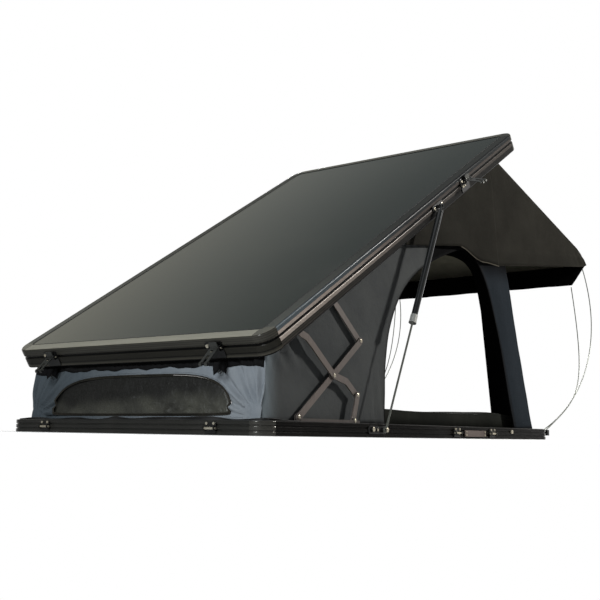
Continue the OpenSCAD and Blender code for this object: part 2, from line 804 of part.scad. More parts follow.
// Lever in its hanging position: hub, finger tab, slotted plate and two hooks open to the frame
module lever_shape() {
  hub_r = latch_pin_r + 3;
  plate_w = lever_w - 0.8;
  tab_w = lever_w - 2;
  prong_w = lever_w * 0.32;
  hook_r = barrel_d / 2 + hook_fit;
  lip = 2.5;
  plate_y = hub_r - lever_t - flat_in;
  jaw = hook_r - flat_in;
  difference() {
    union() {
      x_pin(0, 0, hub_r, -lever_w / 2, lever_w / 2);
      translate([-plate_w / 2, plate_y, -lever_l * 0.5])
        cube([plate_w, lever_t, lever_l * 0.5]);
      for (s = [-1, 1]) {
        translate([s * (plate_w - prong_w) / 2 - prong_w / 2, plate_y, -lever_l])
          cube([prong_w, lever_t, lever_l * 0.6]);
        difference() {
          x_pin(0, -lever_l, hook_r + lever_t, s * (plate_w - prong_w) / 2 - prong_w / 2,
            s * (plate_w - prong_w) / 2 + prong_w / 2);
          translate([-lever_w, -2 * hook_r, -lever_l - jaw]) cube([2 * lever_w, 2 * hook_r, 2 * jaw]);
          translate([-lever_w, -4 * hook_r - lip, -lever_l - 2 * hook_r])
            cube([2 * lever_w, 4 * hook_r, 4 * hook_r]);
        }
      }
      rotate([-lever_rest, 0, 0]) translate([-tab_w / 2, plate_y, 0])
        cube([tab_w, lever_t, 24]);
    }
    x_pin(0, 0, latch_pin_r + pin_fit, -lever_w, lever_w);
    x_pin(0, -lever_l, hook_r, -lever_w, lever_w);
    translate([-plate_w / 2 + prong_w, 0, -lever_l * 0.34])
      cube([plate_w - 2 * prong_w, 2 * hub_r, lever_l * 0.16]);
  }
}

module resting_lever() {
  translate([0, latch_out, latch_n]) rotate([lever_rest, 0, 0]) lever_shape();
}

module lever_low_left() {
  color(zinc) on_lid() at_low_end(latch_y) resting_lever();
}

module lever_low_right() {
  color(zinc) on_lid() at_low_end(-latch_y) resting_lever();
}

module lever_high_left() {
  color(zinc) on_lid() at_high_end(lid_l, latch_y) resting_lever();
}

module lever_high_right() {
  color(zinc) on_lid() at_high_end(lid_l, -latch_y) resting_lever();
}

module lever_side_left() {
  color(zinc) on_lid() at_left_side(latch_u, lid_side) resting_lever();
}

module lever_side_right() {
  color(zinc) on_lid() at_right_side(latch_u, lid_side) resting_lever();
}

// Keepers on the base: a block with two ears, and the barrel that the hooks catch
keeper_w = lever_w + 4;
keeper_out = latch_out - lid_inset;

module keeper() {
  difference() {
    union() {
      translate([-keeper_w / 2 - ear_t, 4, 5]) rotate([90, 0, 0]) linear_extrude(4)
        round_rect(keeper_w + 2 * ear_t, base_h - 10, 4);
      for (x = [-keeper_w / 2 - ear_t, keeper_w / 2]) translate([x, 0, keeper_z - 8]) {
        translate([0, 3, 0]) cube([ear_t, keeper_out - 3, 16]);
        translate([0, keeper_out, 8]) rotate([0, 90, 0]) cylinder(r = 8, h = ear_t);
      }
    }
    x_pin(keeper_out, keeper_z, barrel_d / 2, -keeper_w, keeper_w);
  }
}

module latch_keepers() {
  color(rubber_black) from_low_end() at_base_keepers() keeper();
}

module keeper_pins() {
  color(brass_grey) from_low_end() at_base_keepers()
    difference() {
      x_pin(keeper_out, keeper_z, barrel_d / 2, -keeper_w / 2 - ear_t - 1, keeper_w / 2 + ear_t + 1);
      translate([-keeper_w, -keeper_out - over, 0]) cube([2 * keeper_w, keeper_out + 4 + over, base_h]);
    }
}

// Plates between the side keepers for the ladder's hooks
plate_w = 178;
plate_h = 26;
plate_t = 5;

module ladder_plates() {
  mid = side_keeper_x - keeper_step / 2;
  color([0.42, 0.38, 0.36]) from_low_end() both_sides()
    upright(base_side + plate_t, plate_t) translate([mid - plate_w / 2, (base_h - plate_h) / 2 - 3])
      round_rect(plate_w, plate_h, 4);
}

// Screw heads on the keepers, the ladder plates and the side rails
screw_r = 4.5;
screw_t = 3;
rail_bolt_x = side_keeper_x + 186;

module base_screws() {
  mid = side_keeper_x - keeper_step / 2;
  color(brass_grey) from_low_end() {
    at_base_keepers() for (s = [-1, 1])
      translate([s * 16, 4, base_h - 10]) rotate([-90, 0, 0]) cylinder(r = screw_r, h = screw_t);
    both_sides() {
      for (s = [-1, 1], t = [-1, 1])
        y_pin([mid + s * (plate_w / 2 - 9), base_h / 2 - 3 + t * 7], screw_r - 1, base_side + plate_t,
          base_side + plate_t + screw_t);
      y_pin([rail_bolt_x, base_h - 16], 9, base_side, base_side + 5);
    }
  }
}

// Sockets at the high end for the feet of the spring rods
socket_depth = 20;
rod_y = [base_side - 35, base_side - 21];

module rod_sockets() {
  rim = 6.5;
  fit = 0.6;
  block = [socket_out + rim + 1, rod_y[1] - rod_y[0] + 2 * (rim + bow_d / 2), socket_depth + rim];
  color(anodised) from_low_end() both_sides() difference() {
    translate([base_l, rod_y[0] - rim - bow_d / 2, base_h - 2 - block[2]]) cube(block);
    for (y = rod_y) translate([base_l + socket_out, y, base_h - 2 - socket_depth])
      cylinder(r = bow_d / 2 + fit, h = socket_depth + over);
  }
}

// Lid: top sheet, core and lining inside the border
module lid_sheet(border, r, t) {
  translate([lid_l / 2, 0, 0]) linear_extrude(t)
    centred_rect(lid_l - 2 * border - 2 * seat, lid_w - 2 * border - 2 * seat, r - seat);
}

border_r = corner_r - lid_border_w;

module lid_skin() {
  color(satin_black) on_lid() translate([0, 0, lid_h - 1 - lid_skin_t])
    lid_sheet(lid_border_w, border_r, lid_skin_t);
}

module lid_core() {
  color([0.75, 0.75, 0.72]) on_lid() translate([0, 0, lid_core_bottom])
    lid_sheet(lid_border_w, border_r, lid_core_t);
}

module lid_liner() {
  color([0.22, 0.23, 0.24]) on_lid() translate([0, 0, lid_liner_bottom])
    lid_sheet(lid_rail_w, corner_r - lid_rail_w, lid_liner_t);
}

module lid_rail_low() {
  color(anodised) on_lid() low_rail(lid_w) lid_profile();
}

module lid_rail_high() {
  color(anodised) on_lid() high_rail(lid_l, lid_w) lid_profile();
}

module lid_rail_left() {
  color(anodised) on_lid() side_rail(lid_l, lid_w) lid_profile();
}

module lid_rail_right() {
  color(anodised) on_lid() mirror([0, 1, 0]) side_rail(lid_l, lid_w) lid_profile();
}

module lid_corners() {
  color(anodised) on_lid() corner_set(lid_l, lid_w) lid_profile();
}

// Tent cloth. Lines along the lid and the rear wall, as seen from the side
cloth_z0 = floor_top + seat;
function lid_line(x, n) = lid_rise + (x - lid_shift) * tan(lid_angle) + n / cos(lid_angle);
function rear_line(z) = rear_x - rear_lean * (z - floor_top);
rear_top_z = (lid_line(0, cloth_top_n) + (rear_x + rear_lean * floor_top) * tan(lid_angle))
  / (1 + rear_lean * tan(lid_angle)) - cloth_t;
front_top = lid_to_open([lid_rail_w + 59, cloth_top_n]);
function bezier(p, t) = pow(1 - t, 3) * p[0] + 3 * t * pow(1 - t, 2) * p[1] + 3 * t * t * (1 - t) * p[2]
  + pow(t, 3) * p[3];
function mix(a, b, t) = a + (b - a) * t;

// Band of cloth between an inner and an outer outline; put(p, t, side) places a point of it
module cloth_band(inner, outer, n, wrap, put) {
  m = wrap ? len(inner) : len(inner) - 1;
  points = [for (k = [0, 1], i = [0 : len(inner) - 1], j = [0 : n])
    put(mix(inner[i], outer[i], j / n), j / n, k)];
  polyhedron(points, grid_faces(m, n, wrap));
}

// Side wall: cloth round the arched door, drawn tight between the base and the lid
wall_steps = 10;
door_left = [[door_x0, cloth_z0], [door_x0, 480], [door_x0 + 55, 640], [door_top_x, door_z]];
door_right = [[door_top_x, door_z], [door_x1 - 275, door_z + 100], [door_x1 - 205, 629], [door_x1, cloth_z0]];

function wall_fold(x, z) = fold_d * (0.5 + 0.5 * sin(x * 0.55 + z * 0.12))
  * sin(min(180, max(0, (z - floor_top) * 0.3)));
function wall_flare(x) = 14 * exp(-max(0, x - front_x) / 50);

module wall_side() {
  foot_front = [front_x + cloth_t + fold_d + slack, cloth_z0];
  top_x = front_top[0] + cloth_t + fold_d + slack;
  top_front = [top_x, lid_line(top_x, cloth_top_n)];
  rear_top = [rear_line(rear_top_z) - cloth_t, rear_top_z - 4];
  rear_foot = [rear_x - cloth_t, cloth_z0];
  inner = concat([for (i = [0 : 2 * wall_steps - 1]) bezier(door_left, i / (2 * wall_steps))],
    [for (i = [0 : 2 * wall_steps]) bezier(door_right, i / (2 * wall_steps))]);
  outer = concat([for (i = [0 : wall_steps - 1]) mix(foot_front, top_front, i / wall_steps)],
    [for (i = [0 : 2 * wall_steps - 1]) mix(top_front, rear_top, i / (2 * wall_steps))],
    [for (i = [0 : wall_steps]) mix(rear_top, rear_foot, i / wall_steps)]);
  put = function(p, t, k) [p[0], wall_y - (1 - k) * cloth_t - wall_fold(p[0], p[1]) + wall_flare(p[0]), p[1]];
  cloth_band(inner, outer, 7, false, put);
}

module left_wall() {
  color(cloth_grey) from_low_end() wall_side();
}

module right_wall() {
  color(cloth_grey) from_low_end() mirror([0, 1, 0]) wall_side();
}

// Front wall with its low arched window
front_half = wall_y + 13;
function window_edge(a, grow) =
  let (c = cos(a), s = sin(a))
  [(window_a + grow) * sign(c) * pow(abs(c), 0.62),
    window_z - grow + (s < 0 ? -0.06 * window_b * pow(-s, 0.5) : (window_b + 2 * grow) * pow(s, 0.75))];
window_steps = 56;
// Edge of the front wall, with its upper corner at the given angle
rim_corner = 6 * 360 / window_steps;
function wall_rim(a) =
  let (c = cos(a), s = sin(a))
  s < 0 ? [front_half * sign(c) * pow(abs(c), 0.62), cloth_z0]
    : s < sin(rim_corner) - 0.001 ? [front_half * sign(c), mix(cloth_z0, front_top[1], s / sin(rim_corner))]
    : [front_half * sign(c) * pow(abs(c) / cos(rim_corner), 0.62), front_top[1]];
function front_place(z) = mix(front_x, front_top[0], (z - cloth_z0) / (front_top[1] - cloth_z0));
function front_fold(y, z) = fold_d * 0.8 * sin(y * 1.9 + z * 1.1) * pow(abs(y) / front_half, 2)
  * sin(min(180, max(0, 180 * (z - cloth_z0) / (front_top[1] - cloth_z0))));

module front_wall() {
  inner = [for (i = [0 : window_steps - 1]) window_edge(360 * i / window_steps, 0)];
  outer = [for (i = [0 : window_steps - 1]) wall_rim(360 * i / window_steps)];
  put = function(p, t, k) [front_place(p[1]) + k * cloth_t + front_fold(p[0], p[1]), p[0], p[1]];
  color([0.36, 0.41, 0.46]) from_low_end() cloth_band(inner, outer, 4, true, put);
}

module window_plate(grow, cut, t) {
  mid = window_z + window_b / 2;
  lean = atan((front_top[0] - front_x) / (front_top[1] - cloth_z0));
  flat = function(g) [for (i = [0 : window_steps - 1]) let (p = window_edge(360 * i / window_steps, g))
    [p[0], (p[1] - mid) / cos(lean)]];
  from_low_end() translate([front_place(mid) + cloth_t / 2, 0, mid]) rotate([0, lean, 0])
    rotate([90, 0, 90]) translate([0, 0, -t / 2]) linear_extrude(t) difference() {
      polygon(flat(grow));
      if (cut < 0) polygon(flat(cut));
    }
}

module window_mesh() {
  color([0.22, 0.21, 0.19]) window_plate(-8 - seat, 0, 1);
}

module window_piping() {
  color([0.6, 0.58, 0.52]) window_plate(-2 * seat, -8, 4);
}

// Rear wall: leans in with the lid, with an arched door
rear_half = wall_y - cloth_t - 4;

arch_power = 0.45;
function rear_arch(a) = let (c = cos(a), rise = rear_door_z - rear_spring_z)
  [-rear_door_half * sign(c) * pow(abs(c), arch_power), rear_spring_z + rise * pow(sin(a), arch_power)];

module rear_wall() {
  zt = rear_top_z - 4;
  n = 2 * wall_steps;
  jamb = 6;
  inner = concat([for (i = [0 : jamb - 1]) [-rear_door_half, mix(cloth_z0, rear_spring_z, i / jamb)]],
    [for (i = [0 : 2 * (n - jamb)]) rear_arch(90 * i / (n - jamb))],
    [for (i = [jamb - 1 : -1 : 0]) [rear_door_half, mix(cloth_z0, rear_spring_z, i / jamb)]]);
  outer = concat([for (i = [0 : n - 5]) [-rear_half, mix(cloth_z0, zt, i / (n - 4))]],
    [for (i = [0 : 7]) [mix(-rear_half, rear_half, i / 8), zt]],
    [for (i = [0 : n - 4]) [rear_half, mix(zt, cloth_z0, i / (n - 4))]]);
  put = function(p, t, k)
    [rear_line(p[1]) - k * cloth_t - fold_d * (0.5 + 0.5 * sin(p[0] * 1.1)) * sin(180 * t), p[0], p[1]];
  color([0.08, 0.08, 0.08]) from_low_end() mirror([0, 1, 0]) cloth_band(inner, outer, 6, false, put);
}

// Awning: hood with side gussets and a front valance, side skirts under the lid
hood_root = lid_to_open([hood_u, 0]);
hood_front = [base_l + hood_reach, hood_front_z];
hood_brow = hood_front + [-154, 86];
hood_slope = heading(hood_root, hood_brow);
hood_start = hood_root - turn(hood_slope, [cloth_top_n / sin(lid_angle - hood_slope), 0]);
hem_back = [hood_root[0], door_z - 10];
hem_front = hood_front - [30, 14];
skirt_x0 = hood_root[0] - skirt_l;
skirt_rise = 45;

module awning_hood() {
  n = 9;
  cols = 9;
  gusset = 5;
  brow = 6;
  line = concat([hood_start], [for (i = [0 : brow]) mix(hood_root, hood_brow, i / brow)],
    [for (i = [1, 2]) mix(hood_brow, hood_front, i / 2) + [8, 10] * (2 - i)]);
  hem = [for (i = [0 : n]) i == 0 ? hood_start - [0, 8]
    : mix(hem_back, hem_front, (line[i][0] - hood_root[0]) / (hood_front[0] - hood_root[0]))];
  across = 2 * gusset + cols;
  put = function(i, j, k)
    let (up = j < gusset ? j / gusset : j > gusset + cols ? (across - j) / gusset : 1)
    let (s = j <= gusset ? -1 : j >= gusset + cols ? 1 : 2 * (j - gusset) / cols - 1)
    let (p = mix(hem[i], line[i], up), free = i == 0 ? 0 : 4 * up * (1 - up))
    let (sag = up < 1 ? 0 : 12 * (1 - s * s) * sin(180 * i / n))
    let (t = up < 1 ? 0 : min(cloth_t, (line[i][1] - hem[i][1]) / (2 * gusset)))
    [p[0], s * (hood_y - k * cloth_t + 3 * free * sin(70 * i + 120 * up)),
      p[1] - sag - k * t];
  points = [for (k = [0, 1], i = [0 : n], j = [0 : across]) put(i, j, k)];
  color(cloth_dark) from_low_end() {
    polyhedron(points, grid_faces(n, across, false));
    valance();
  }
}

module valance() {
  m = 24;
  n = 3;
  top = hood_front - [6, cloth_t + 2];
  put = function(i, j, k) let (s = 2 * i / m - 1, t = j / n)
    [top[0] - valance_back * t - (1 - k) * cloth_t - 5 * sin(s * 900) * t,
      s * (hood_y - cloth_t - slack - valance_taper * t), top[1] - valance_drop * t];
  polyhedron([for (k = [0, 1], i = [0 : m], j = [0 : n]) put(i, j, k)], grid_faces(m, n, false));
}

module skirt_side() {
  m = 16;
  n = 4;
  put = function(i, j, k) let (t = i / m, x = mix(skirt_x0, hem_back[0] - slack, t))
    let (x_top = mix(skirt_x0 + 90, hood_start[0] - 4 * slack, t))
    let (top = [x_top, lid_line(x_top, cloth_top_n)])
    let (hem = [x, mix(door_z - 45, door_z - 10, t) + skirt_rise * sin(180 * t)], p = mix(top, hem, j / n))
    [p[0], hood_y - k * cloth_t + 4 * sin(p[0] * 0.9) * j / n, p[1]];
  polyhedron([for (k = [0, 1], i = [0 : m], j = [0 : n]) put(i, j, k)], grid_faces(m, n, false));
}

module skirt_left() {
  color(cloth_dark) from_low_end() skirt_side();
}

module skirt_right() {
  color(cloth_dark) from_low_end() mirror([0, 1, 0]) skirt_side();
}

// Spring rods that bow out from the sockets to the hood's corner and the valance's hem
bow_x = base_l + socket_out;
bow_outer = [[bow_x, rod_y[0], base_h], [bow_x + 470, rod_y[0] + 10, 196],
  [bow_x + 776, rod_y[0], 539], [hood_front[0] - 20, hood_y - 12, hood_front_z - 26]];
bow_inner = [[bow_x, rod_y[1], base_h], [bow_x + 360, rod_y[1] + 7, 209],
  [bow_x + 560, rod_y[1] - 22, 243],
  [hood_front[0] - 6 - valance_back, hood_y - valance_taper - 8, hood_front_z - valance_drop - 12]];

module bow(route) {
  steps = 16;
  sides = 6;
  path = concat([route[0] - [0, 0, socket_depth + 1]], [for (i = [0 : steps]) bezier(route, i / steps)]);
  last = len(path) - 1;
  ring = function(i)
    let (d = path[min(last, i + 1)] - path[max(0, i - 1)], w = d / norm(d))
    let (side = cross([0, 1, 0], w), u = side / norm(side), v = cross(w, u))
    [for (a = [0 : sides - 1]) path[i] + bow_d / 2 * (cos(360 * a / sides) * u + sin(360 * a / sides) * v)];
  points = [for (i = [0 : last]) each ring(i)];
  faces = concat([[for (a = [sides - 1 : -1 : 0]) a]],
    [for (i = [0 : last - 1], a = [0 : sides - 1], s = [0, 1])
      let (b = (a + 1) % sides, q = i * sides)
      s == 0 ? [q + a, q + b, q + sides + a] : [q + b, q + sides + b, q + sides + a]],
    [[for (a = [0 : sides - 1]) last * sides + a]]);
  polyhedron(points, [for (f = faces) [for (i = [len(f) - 1 : -1 : 0]) f[i]]]);
}

module awning_rods_left() {
  color(zinc) from_low_end() {
    bow(bow_outer);
    bow(bow_inner);
  }
}

module awning_rods_right() {
  color(zinc) mirror([0, 1, 0]) from_low_end() {
    bow(bow_outer);
    bow(bow_inner);
  }
}

base_rail_low();
base_rail_high();
base_rail_left();
base_rail_right();
base_corners();
floor_panel();
mounting_rails();
mattress();
base_seal();
hinge_base_left();
hinge_base_right();
strut_feet();
latch_keepers();
keeper_pins();
ladder_plates();
base_screws();
rod_sockets();
front_wall();
left_wall();
right_wall();
rear_wall();
window_mesh();
window_piping();
lid_skin();
lid_core();
lid_liner();
lid_rail_low();
lid_rail_high();
lid_rail_left();
lid_rail_right();
lid_corners();
hinge_lid_left();
hinge_lid_right();
strut_heads();
latch_brackets();
latch_pins();
skirt_left();
skirt_right();
lever_low_left();
lever_low_right();
lever_high_left();
lever_high_right();
lever_side_left();
lever_side_right();
main_arm_left();
main_arm_right();
cross_arm_left();
cross_arm_right();
lower_link_left();
lower_link_right();
upper_link_left();
upper_link_right();
strut_rod_left();
strut_rod_right();
strut_tube_left();
strut_tube_right();
awning_hood();
awning_rods_left();
awning_rods_right();
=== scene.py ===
import math

import bmesh
import bpy
import numpy as np
from mathutils import Matrix, Vector


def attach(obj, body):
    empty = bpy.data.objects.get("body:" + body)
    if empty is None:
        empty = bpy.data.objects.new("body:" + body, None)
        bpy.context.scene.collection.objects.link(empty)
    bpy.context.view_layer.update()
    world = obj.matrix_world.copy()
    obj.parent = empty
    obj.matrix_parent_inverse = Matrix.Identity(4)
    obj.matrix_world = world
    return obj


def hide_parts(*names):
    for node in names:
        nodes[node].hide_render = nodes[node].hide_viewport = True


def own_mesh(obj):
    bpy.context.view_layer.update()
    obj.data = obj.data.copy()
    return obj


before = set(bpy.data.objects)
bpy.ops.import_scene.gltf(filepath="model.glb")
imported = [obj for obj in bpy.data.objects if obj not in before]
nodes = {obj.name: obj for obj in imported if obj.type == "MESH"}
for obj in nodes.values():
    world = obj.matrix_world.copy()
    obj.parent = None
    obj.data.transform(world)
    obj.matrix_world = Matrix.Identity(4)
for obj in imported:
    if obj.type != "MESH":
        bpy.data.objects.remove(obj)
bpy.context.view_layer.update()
print("tent: frame loaded with", len(nodes), "nodes")

# sizes below are millimetres from the base's low end, as the tent maker counts them
shape = {
    "halfLength": 1050.0,
    "lidAngle": math.radians(32.2),
    "lidShift": 46.0,
    "lidRise": 250.0,
    "lidLength": 2094.0,
    "lidHeight": 80.0,
    "lidHalf": 652.0,
    "lidRail": 26.0,
    "linerBottom": 61.5,
    "clothTop": 61.2,
    "floorTop": 40.0,
    "clothFoot": 40.3,
    "wallHalf": 581.0,
    "clothThick": 1.6,
    "clothInset": 1.5,
}
lean = shape["lidAngle"]
sides = (("left", 1), ("right", -1))


def toFrame(points):
    return (np.asarray(points, float) - [shape["halfLength"], 0, 0]) / 1000.0


def sinDeg(a):
    return np.sin(np.radians(a))


def cosDeg(a):
    return np.cos(np.radians(a))


def mix(a, b, t):
    return a + (b - a) * t


def pile(*parts):  # points or flat places from their coordinates
    return np.stack(np.broadcast_arrays(*parts), -1)


def grid(piece, low=0):  # shares along and across a sheet
    return np.linspace(low, 1, piece["rows"])[:, None], np.linspace(0, 1, piece["across"])[None]


def run(first, last, count, end=0):  # points along a straight edge; end=1 adds its last one
    return mix(np.asarray(first, float), np.asarray(last, float), np.arange(count + end)[:, None] / count)


def smooth(value, low, high):
    t = np.clip((value - low) / (high - low), 0.0, 1.0)
    return t * t * (3 - 2 * t)


def hump(value, middle, width):  # a bell of height 1
    return np.exp(-(((value - middle) / width) ** 2))


def wave(value, pitch, phase=0.0):
    return np.sin(value * 2 * math.pi / pitch + phase)


def crumple(u, v, size, seed=0):  # quiet cloth waves, the same on each run
    total = 0.0
    for k in range(5):
        turn = 0.9 + 2.4 * k + seed
        step = size * (1.0 - 0.13 * k)
        total = total + wave(u * math.cos(turn) + v * math.sin(turn), step, 1.7 * k + seed) / (1.2 + 0.5 * k)
    return total / 2.2


def bezier(points, t):
    p = np.asarray(points, float)
    t = np.asarray(t, float)[..., None]
    return (1 - t) ** 3 * p[0] + 3 * t * (1 - t) ** 2 * p[1] + 3 * t * t * (1 - t) * p[2] + t**3 * p[3]


def lidPoint(u, y, n):  # a point of the open lid: along it, across it, up from its underside
    c, s = math.cos(lean), math.sin(lean)
    return pile(shape["lidShift"] + c * u - s * n, y, shape["lidRise"] + s * u + c * n)


def lidLine(x, n):
    return shape["lidRise"] + (x - shape["lidShift"]) * math.tan(lean) + n / math.cos(lean)


def addObject(name, data):
    made = bpy.data.objects.new(name, data)
    bpy.context.scene.collection.objects.link(made)
    return made


def newNode(tree, kind, sockets=None, **values):
    made = tree.nodes.new(kind)
    for key, value in values.items():
        setattr(made, key, value)
    for key, value in (sockets or {}).items():
        made.inputs[key].default_value = value
    return made


def wire(tree, *links):  # each link: a node and its output, then a node and its input
    for source, output, target, entry in links:
        tree.links.new(source.outputs[output], target.inputs[entry])


def rampNode(tree, stops):
    made = newNode(tree, "ShaderNodeValToRGB")
    marks = made.color_ramp.elements
    marks[0].position, marks[0].color = stops[0]
    marks[1].position, marks[1].color = stops[-1]
    for place, shade in stops[1:-1]:
        marks.new(place).color = shade
    return made


# Camera, light and floor
view = {"place": (-3.45246, -2.69887, 0.008), "yaw": 38.524, "pitch": 8.0675, "roll": 0.907,
        "lens": 59.951, "sensor": 36.0, "shiftX": 0.00248, "shiftY": -0.01272, "clip": (0.05, 60.0)}
lamps = {
    "keyLamp": {"place": (2.9, -3.9, 3.0), "aim": (0.0, -0.2, 0.4), "size": 0.42, "power": 300.0,
                "colour": (1.0, 0.97, 0.93)},
    "fillLamp": {"place": (-3.6, -0.8, 1.15), "aim": (-1.0, -0.2, 0.2), "size": 0.6, "power": 78.0,
                 "colour": (0.93, 0.97, 1.0)},
    "backLamp": {"place": (4.0, 3.1, 2.7), "aim": (0.5, 0.2, 0.5), "size": 1.2, "power": 190.0,
                 "colour": (1.0, 0.99, 0.97)},
}
# reflections are white round the horizon and dim above, under a pale ceiling
air = {"skyLevel": 0.16, "skyColour": (0.96, 0.98, 1.0, 1), "roomLevel": 0.16,
       "backdropSide": (0.78, 0.62, 0.0), "backdropReach": (0.3, 0.74), "ceilingReach": (0.66, 0.82),
       "reflections": [(0.22, (1, 1, 1, 1)), (0.48, (0.66, 0.65, 0.54, 1)), (0.53, (0.46, 0.46, 0.4, 1)),
                       (0.58, (0.3, 0.32, 0.3, 1)), (0.65, (0.1, 0.12, 0.12, 1)),
                       (0.78, (0.4, 0.41, 0.42, 1)), (0.95, (0.6, 0.6, 0.61, 1))]}
ground = {"centre": (0.28, 0.0, -0.001), "radius": 2.6, "corners": 128, "lift": 0.5,
          "colour": (0.52, 0.52, 0.52, 1)}


def addCamera():
    yaw, pitch, roll = (math.radians(view[k]) for k in ("yaw", "pitch", "roll"))
    ahead = Vector((math.cos(yaw) * math.cos(pitch), math.sin(yaw) * math.cos(pitch), math.sin(pitch)))
    right = Vector((math.sin(yaw), -math.cos(yaw), 0.0))
    up = right.cross(ahead)
    side = math.cos(roll) * right + math.sin(roll) * up
    top = -math.sin(roll) * right + math.cos(roll) * up
    lens = bpy.data.cameras.new("photoView")
    lens.sensor_fit = "HORIZONTAL"
    lens.sensor_width = view["sensor"]
    lens.lens = view["lens"]
    lens.shift_x, lens.shift_y = view["shiftX"], view["shiftY"]
    lens.clip_start, lens.clip_end = view["clip"]
    made = addObject("photoView", lens)
    turn = Matrix((side, top, -ahead)).transposed().to_4x4()
    made.matrix_world = Matrix.Translation(view["place"]) @ turn
    bpy.context.scene.camera = made


def addLamp(name, place, aim, size, power, colour):
    lamp = bpy.data.lights.new(name, "AREA")
    lamp.shape = "DISK"
    lamp.size, lamp.energy, lamp.color = size, power, colour
    made = addObject(name, lamp)
    made.location = place
    made.rotation_euler = (Vector(aim) - Vector(place)).to_track_quat("-Z", "Y").to_euler()


def addAir():
    world = bpy.data.worlds.new("studioAir")
    bpy.context.scene.world = world
    world.use_nodes = True
    tree = world.node_tree
    tree.nodes.clear()
    path = newNode(tree, "ShaderNodeLightPath")
    where = newNode(tree, "ShaderNodeTexCoord")
    parts = newNode(tree, "ShaderNodeSeparateXYZ")
    fall = rampNode(tree, air["reflections"])
    facing = newNode(tree, "ShaderNodeVectorMath", {1: air["backdropSide"]}, operation="DOT_PRODUCT")
    near, far = air["backdropReach"]  # the backdrop stands behind the tent
    reach = {"From Min": near, "From Max": far, "To Min": air["roomLevel"]}
    room = newNode(tree, "ShaderNodeMapRange", reach, interpolation_type="SMOOTHSTEP")
    low, high = air["ceilingReach"]
    above = newNode(tree, "ShaderNodeMapRange", {"From Min": low, "From Max": high})
    level = newNode(tree, "ShaderNodeMath", operation="MAXIMUM")
    dim = newNode(tree, "ShaderNodeMix", {"Factor": 1.0}, data_type="RGBA", blend_type="MULTIPLY")
    white = newNode(tree, "ShaderNodeMix", {"B": (1, 1, 1, 1)}, data_type="RGBA")
    seen = newNode(tree, "ShaderNodeMath", operation="MAXIMUM")
    seenThrough = newNode(tree, "ShaderNodeMath", operation="MAXIMUM")
    lit = newNode(tree, "ShaderNodeBackground", {"Color": air["skyColour"], "Strength": air["skyLevel"]})
    shown = newNode(tree, "ShaderNodeBackground")
    both = newNode(tree, "ShaderNodeMixShader")
    out = newNode(tree, "ShaderNodeOutputWorld")
    wire(tree, (where, "Generated", parts, 0), (parts, "Z", fall, "Fac"), (where, "Generated", facing, 0),
         (facing, "Value", room, "Value"), (parts, "Z", above, "Value"), (room, "Result", level, 0),
         (above, "Result", level, 1), (fall, "Color", dim, "A"), (level, 0, dim, "B"),
         (path, "Is Camera Ray", white, "Factor"), (dim, "Result", white, "A"),
         (white, "Result", shown, "Color"), (path, "Is Camera Ray", seen, 0),
         (path, "Is Glossy Ray", seen, 1), (seen, 0, seenThrough, 0),
         (path, "Is Transmission Ray", seenThrough, 1),
         (seenThrough, 0, both, "Fac"), (lit, 0, both, 1), (shown, 0, both, 2), (both, 0, out, "Surface"))


def addFloor():
    disc = bmesh.new()
    bmesh.ops.create_circle(disc, cap_ends=True, segments=ground["corners"], radius=ground["radius"])
    mesh = bpy.data.meshes.new("paleFloor")
    disc.to_mesh(mesh)
    disc.free()
    mesh.transform(Matrix.Translation(ground["centre"]))
    floor = addObject("paleFloor", mesh)
    paint = bpy.data.materials.new("floorPaper")
    paint.use_nodes = True
    tree = paint.node_tree
    paper = tree.nodes["Principled BSDF"]
    paper.inputs["Base Color"].default_value = ground["colour"]
    paper.inputs["Roughness"].default_value = 0.9
    paper.inputs["Emission Color"].default_value = (1, 1, 1, 1)
    eye = newNode(tree, "ShaderNodeLightPath")
    lift = newNode(tree, "ShaderNodeMath", {1: ground["lift"]}, operation="MULTIPLY")
    wire(tree, (eye, "Is Camera Ray", lift, 0), (lift, 0, paper, "Emission Strength"))
    mesh.materials.append(paint)


bpy.context.scene.view_settings.view_transform = "Standard"
addCamera()
addAir()
for lampName, lamp in lamps.items():
    addLamp(lampName, **lamp)
addFloor()
print("tent: camera, lamps and floor placed")


# Shader groups shared by the finishes
def shaderGroup(name, inputs, outputs):  # an input without a value is a vector
    tree = bpy.data.node_groups.new(name, "ShaderNodeTree")
    for label, value in inputs.items():
        kind = "NodeSocketVector" if value is None else "NodeSocketFloat"
        made = tree.interface.new_socket(name=label, in_out="INPUT", socket_type=kind)
        if value is not None:
            made.default_value = value
    for label in outputs:
        tree.interface.new_socket(name=label, in_out="OUTPUT", socket_type="NodeSocketFloat")
    return tree, newNode(tree, "NodeGroupInput"), newNode(tree, "NodeGroupOutput")


def weaveGroup():  # crossing threads, counted per metre of cloth
    tree, given, out = shaderGroup("weave", {"Vector": None, "Threads": 700.0}, ["Height", "Shade"])
    scale = newNode(tree, "ShaderNodeMath", {1: 2 * math.pi / 20.0}, operation="MULTIPLY")
    both = newNode(tree, "ShaderNodeMath", operation="MULTIPLY")
    shade = newNode(tree, "ShaderNodeMapRange", {"To Min": 0.86, "To Max": 1.08})
    wire(tree, (given, "Threads", scale, 0))
    for entry, axis in enumerate("XY"):
        band = newNode(tree, "ShaderNodeTexWave", {"Distortion": 0.6, "Detail": 1.0}, wave_type="BANDS",
                       bands_direction=axis, wave_profile="SIN")
        wire(tree, (given, "Vector", band, "Vector"), (scale, 0, band, "Scale"), (band, "Fac", both, entry))
    wire(tree, (both, 0, shade, "Value"), (both, 0, out, "Height"), (shade, "Result", out, "Shade"))
    return tree


